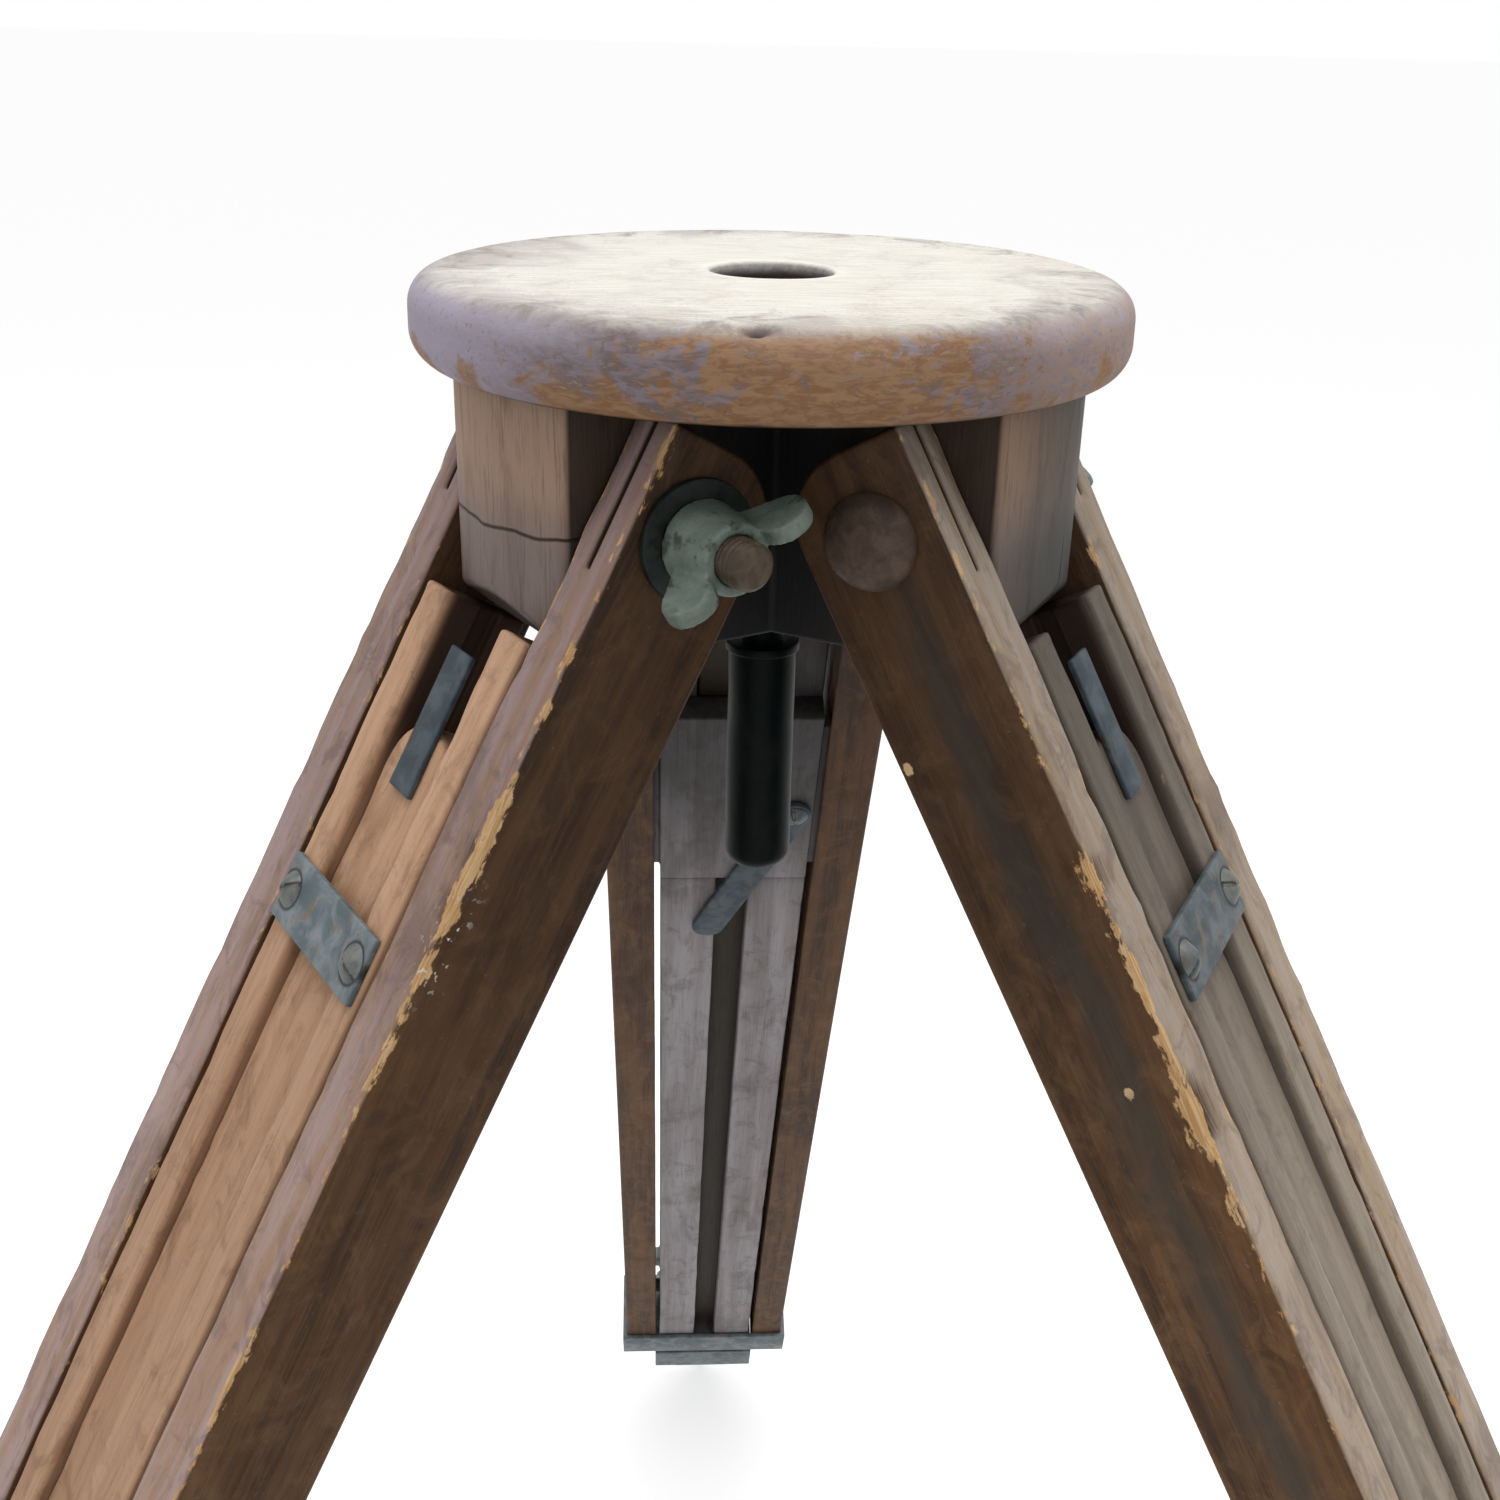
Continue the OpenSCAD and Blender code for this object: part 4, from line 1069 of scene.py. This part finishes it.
class TRIPOD_OT_tie_down_screw(bpy.types.Operator):
    """Turns the tie-down screw, its grip and the lift collar"""
    bl_idname = "tripod.tie_down_screw"
    bl_label = "Tie-down screw"

    def execute(self, context):
        colours = context.scene.tripod_colours
        sizes = context.scene.tripod_sizes
        low, high = span("screw_grip")
        wide = high[0] - 1.0
        lip = 3.0       # height of the collar at the grip's top
        end = 5.0       # rounding of the grip's lower end
        grip = np.concatenate([
            [[3.0, high[2]]],
            arc(wide + 0.4, high[2] - 0.6, 0.6, 90, 0, 4),
            arc(wide + 0.4, high[2] - lip + 0.6, 0.6, 0, -90, 4),
            [[wide, high[2] - lip - 0.1]],
            [[wide, z] for z in np.linspace(high[2] - lip - 2, low[2] + end + 2, 24)],
            arc(wide - end, low[2] + end, end, 0, -88, 10)])

        def worn(radius, height, angle):
            """Slight dents round the grip."""
            return -0.35 * wander(height, 3, 9.0) * (0.5 + 0.5 * np.sin(3.0 * angle + height / 9.0))

        mesh = skin(turned(grip, 72, Matrix(), worn), False)
        piece = put("worn_screw_grip", mesh, "tie_screw", "screw_grip")
        sharpen(mesh, TURNED_ANGLE)
        paint(piece, self.black("black_grip", colours.grip, 0.32))
        low, high = span("tie_down_screw")
        local = to_frame(points_of(frame["nodes"]["tie_down_screw"].data), Matrix())
        reach = np.hypot(*local[:, :2].T)
        thread_r = reach[local[:, 2] > high[2] - 0.1].max()
        flange_r = reach.max()
        flange = local[reach > flange_r - 0.05][:, 2]
        shank = flange_r - 2.0
        thread = np.arange(flange.max() + 0.3, high[2] - 1.0, 0.2)
        profile = np.concatenate([
            [[shank, z] for z in np.linspace(low[2], flange.min() - 0.05, 12)],
            [[flange_r - 0.3, flange.min()], [flange_r, flange.min() + 0.3],
             [flange_r, flange.max() - 0.3], [flange_r - 0.3, flange.max()]],
            [[thread_r, flange.max() + 0.02]],
            np.stack([np.full(len(thread), thread_r), thread], axis=-1),
            [[thread_r - 0.4, high[2] - 0.6], [thread_r - 1.0, high[2]]]])

        def ridge(radius, height, angle):
            """Helical thread of the camera screw."""
            wave = 0.5 + 0.5 * np.cos(2.0 * np.pi * height / CAMERA_PITCH - angle)
            on = (height > flange.max() + 0.2) & (height < high[2] - 0.9)
            return np.where(on, -0.6 * wave, 0.0)

        mesh = skin(turned(profile, 64, Matrix(), ridge), False)
        piece = put("threaded_tie_screw", mesh, "tie_screw", "tie_down_screw")
        sharpen(mesh, TURNED_ANGLE)
        paint(piece, self.black("black_iron", colours.grip, 0.42))
        piece = soft_piece("soft_lift_collar", "screw_lift", "lift_collar",
                           sizes.metal_edge)
        paint(piece, metal_finish("collar_steel", None, *METALS["collar"]))
        return {"FINISHED"}

    def black(self, name, base, rough):
        """Black enamel with a faint green bloom and dull scratches."""
        f = Finish(name)
        bloom = f.noise(0.12, 4.0, 0.65, (1.0, 1.0, 0.5))
        grit = f.noise(2.2, 4.0, 0.7)
        colour = f.mix(f.fade(bloom, 0.45, 0.7), base, (0.008, 0.012, 0.011))
        colour = f.mix(f.both(f.fade(grit, 0.62, 0.75), 0.35), colour, (0.03, 0.036, 0.032))
        return f.shine(colour, f.span_of(bloom, rough - 0.05, rough + 0.2), grit, 0.08,
                       Specular_IOR_Level=0.07)


class TRIPOD_OT_clamps(bpy.types.Operator):
    """Finishes the clamp bands, their knobs, the feet and the block's screws"""
    bl_idname = "tripod.clamps"
    bl_label = "Clamps, knobs and feet"

    def execute(self, context):
        sizes = context.scene.tripod_sizes
        colours = context.scene.tripod_colours
        for side in SIDES:
            steel = metal_finish(f"band_steel_{side}", LEGS[side], colours.plate,
                                 colours.plate_tan, colours.plate_pale, 0.45, 0.4, 0.15)
            cast = metal_finish(f"knob_grey_{side}", LEGS[side], colours.cast, *METALS["knob"])
            for part, body, slot_name, finish in (
                    ("rail_clamp", "upper_leg", "plate_steel", steel),
                    ("stile_clamp", "middle_leg", "plate_steel", steel),
                    ("foot", "lower_leg", "plate_steel", steel),
                    ("rail_clamp_knob", "rail_knob", "cast_grey", cast),
                    ("stile_clamp_knob", "stile_knob", "cast_grey", cast)):
                piece = soft_piece(f"{side}_soft_{part}", f"{side}_{body}",
                                   f"{side}_{part}", sizes.metal_edge)
                paint(piece, finish)
        piece = soft_piece("soft_block_screws", "head", "block_screws",
                           sizes.metal_edge)
        paint(piece, metal_finish("screw_steel", None, *METALS["screw"]))
        return {"FINISHED"}


CAMERA_TURN = (3.27, 23.42, 1.38)           # yaw, tip down and roll, in degrees
CAMERA_PLACE = (-31.1, -492.6, 66.2)        # millimetres from the middle of the head's top
FLOOR_HALF = 60.0                           # half the floor's width, in metres
FLOOR_GLOW = 0.55                           # how far the floor is lifted where it is seen
LAMP_SIZE = 2.4                             # metres
LAMP_PLACE = (0.15, 0.1, 1.6)               # metres


class TRIPOD_OT_stage(bpy.types.Operator):
    """Sets the floor, the lights and the camera"""
    bl_idname = "tripod.stage"
    bl_label = "Stage"

    def execute(self, context):
        settings = context.scene.tripod_stage
        self.camera(context.scene, settings.lens)
        self.floor(settings)
        self.light(context.scene, settings)
        context.scene.view_settings.view_transform = "Standard"
        return {"FINISHED"}

    def camera(self, scene, lens):
        """Camera a little above the head, turned, tipped down and rolled."""
        yaw, pitch, roll = (math.radians(a) for a in CAMERA_TURN)
        look = Vector((math.sin(yaw) * math.cos(pitch), math.cos(yaw) * math.cos(pitch),
                       -math.sin(pitch)))
        light_level = Vector((math.cos(yaw), -math.sin(yaw), 0.0))
        upright = light_level.cross(look)
        right = light_level * math.cos(roll) + upright * math.sin(roll)
        up = upright * math.cos(roll) - light_level * math.sin(roll)
        placing = Matrix((right, up, -look)).transposed().to_4x4()
        placing.translation = Vector(CAMERA_PLACE) / MM
        data = bpy.data.cameras.new("camera")
        data.lens = lens
        data.sensor_width = 36.0
        data.clip_start = 0.01
        camera = bpy.data.objects.new("camera", data)
        camera.matrix_world = placing
        scene.collection.objects.link(camera)
        scene.camera = camera

    def floor(self, settings):
        """Flat floor under the feet: pale, and lifted towards white where the camera sees it."""
        bottom = cad_box[0][2]
        corners = [(x * FLOOR_HALF, y * FLOOR_HALF, bottom)
                   for x, y in ((-1, -1), (1, -1), (1, 1), (-1, 1))]
        mesh = bpy.data.meshes.new("floor")
        mesh.from_pydata(corners, [], [(0, 1, 2, 3)])
        floor = bpy.data.objects.new("floor", mesh)
        bpy.context.scene.collection.objects.link(floor)
        material = bpy.data.materials.new("floor")
        material.use_nodes = True
        tree = material.node_tree
        tree.nodes.clear()
        diffuse = shader_node(tree, "BsdfDiffuse", {"Color": (*settings.floor_colour, 1.0)})
        lift = shader_node(tree, "Math", {0: self.seen(tree), 1: FLOOR_GLOW},
                           operation="MULTIPLY")
        glow = shader_node(tree, "Emission", {"Strength": lift.outputs[0]})
        both = shader_node(tree, "AddShader", {0: diffuse.outputs[0], 1: glow.outputs[0]})
        shader_node(tree, "OutputMaterial", {"Surface": both.outputs[0]})
        mesh.materials.append(material)

    def seen(self, tree):
        """1 for rays from the camera, from gloss and through glass, 0 for light."""
        path = shader_node(tree, "LightPath")
        total = path.outputs["Is Camera Ray"]
        for name in ("Is Glossy Ray", "Is Transmission Ray"):
            total = shader_node(tree, "Math", {0: total, 1: path.outputs[name]},
                                operation="MAXIMUM").outputs[0]
        return total

    def light(self, scene, settings):
        """Even sky, white behind the object, and one wide soft lamp above the head."""
        world = bpy.data.worlds.new("studio")
        scene.world = world
        world.use_nodes = True
        tree = world.node_tree
        tree.nodes.clear()
        light_level = shader_node(tree, "Mix", {0: self.seen(tree), 2: settings.sky, 3: 1.0})
        sky = shader_node(tree, "Background", {"Color": (1.0, 1.0, 1.0, 1.0),
                                               "Strength": light_level.outputs[0]})
        shader_node(tree, "OutputWorld", {"Surface": sky.outputs[0]})
        data = bpy.data.lights.new("soft_lamp", "AREA")
        data.shape = "DISK"
        data.size = LAMP_SIZE
        data.energy = settings.lamp_power
        lamp = bpy.data.objects.new("soft_lamp", data)
        lamp.matrix_world = Matrix.Translation(LAMP_PLACE)
        scene.collection.objects.link(lamp)


class TRIPOD_PT_pieces(bpy.types.Panel):
    """Lists the tripod's pieces and settings"""
    bl_idname = "TRIPOD_PT_pieces"
    bl_label = "Tripod"
    bl_space_type = "VIEW_3D"
    bl_region_type = "UI"
    bl_category = "Tripod"

    def draw(self, context):
        for maker in MAKERS:
            self.layout.operator(maker.bl_idname)
        for group in SETTINGS:
            settings = getattr(context.scene, group)
            for name in settings.bl_rna.properties.keys():
                if name not in {"rna_type", "name"}:
                    self.layout.prop(settings, name)


MAKERS = (TRIPOD_OT_stage, TRIPOD_OT_head_disc, TRIPOD_OT_hinge_block, TRIPOD_OT_rails,
          TRIPOD_OT_stiles, TRIPOD_OT_lower_boards, TRIPOD_OT_hinge_bolts,
          TRIPOD_OT_wing_nuts, TRIPOD_OT_plates, TRIPOD_OT_tie_down_screw, TRIPOD_OT_clamps)
SETTINGS = {"tripod_colours": TripodColours, "tripod_sizes": TripodSizes,
            "tripod_stage": TripodStage}
CLASSES = (*SETTINGS.values(), *MAKERS, TRIPOD_PT_pieces)


def register():
    """Adds the classes and the settings."""
    for cls in CLASSES:
        bpy.utils.register_class(cls)
    for name, group in SETTINGS.items():
        setattr(bpy.types.Scene, name, bpy.props.PointerProperty(type=group))


def unregister():
    """Takes the settings and the classes away again."""
    for name in SETTINGS:
        delattr(bpy.types.Scene, name)
    for cls in reversed(CLASSES):
        bpy.utils.unregister_class(cls)


def main():
    """Makes every piece in turn."""
    register()
    for maker in MAKERS:
        group, name = maker.bl_idname.split(".")
        getattr(getattr(bpy.ops, group), name)()


if __name__ == "__main__":
    main()
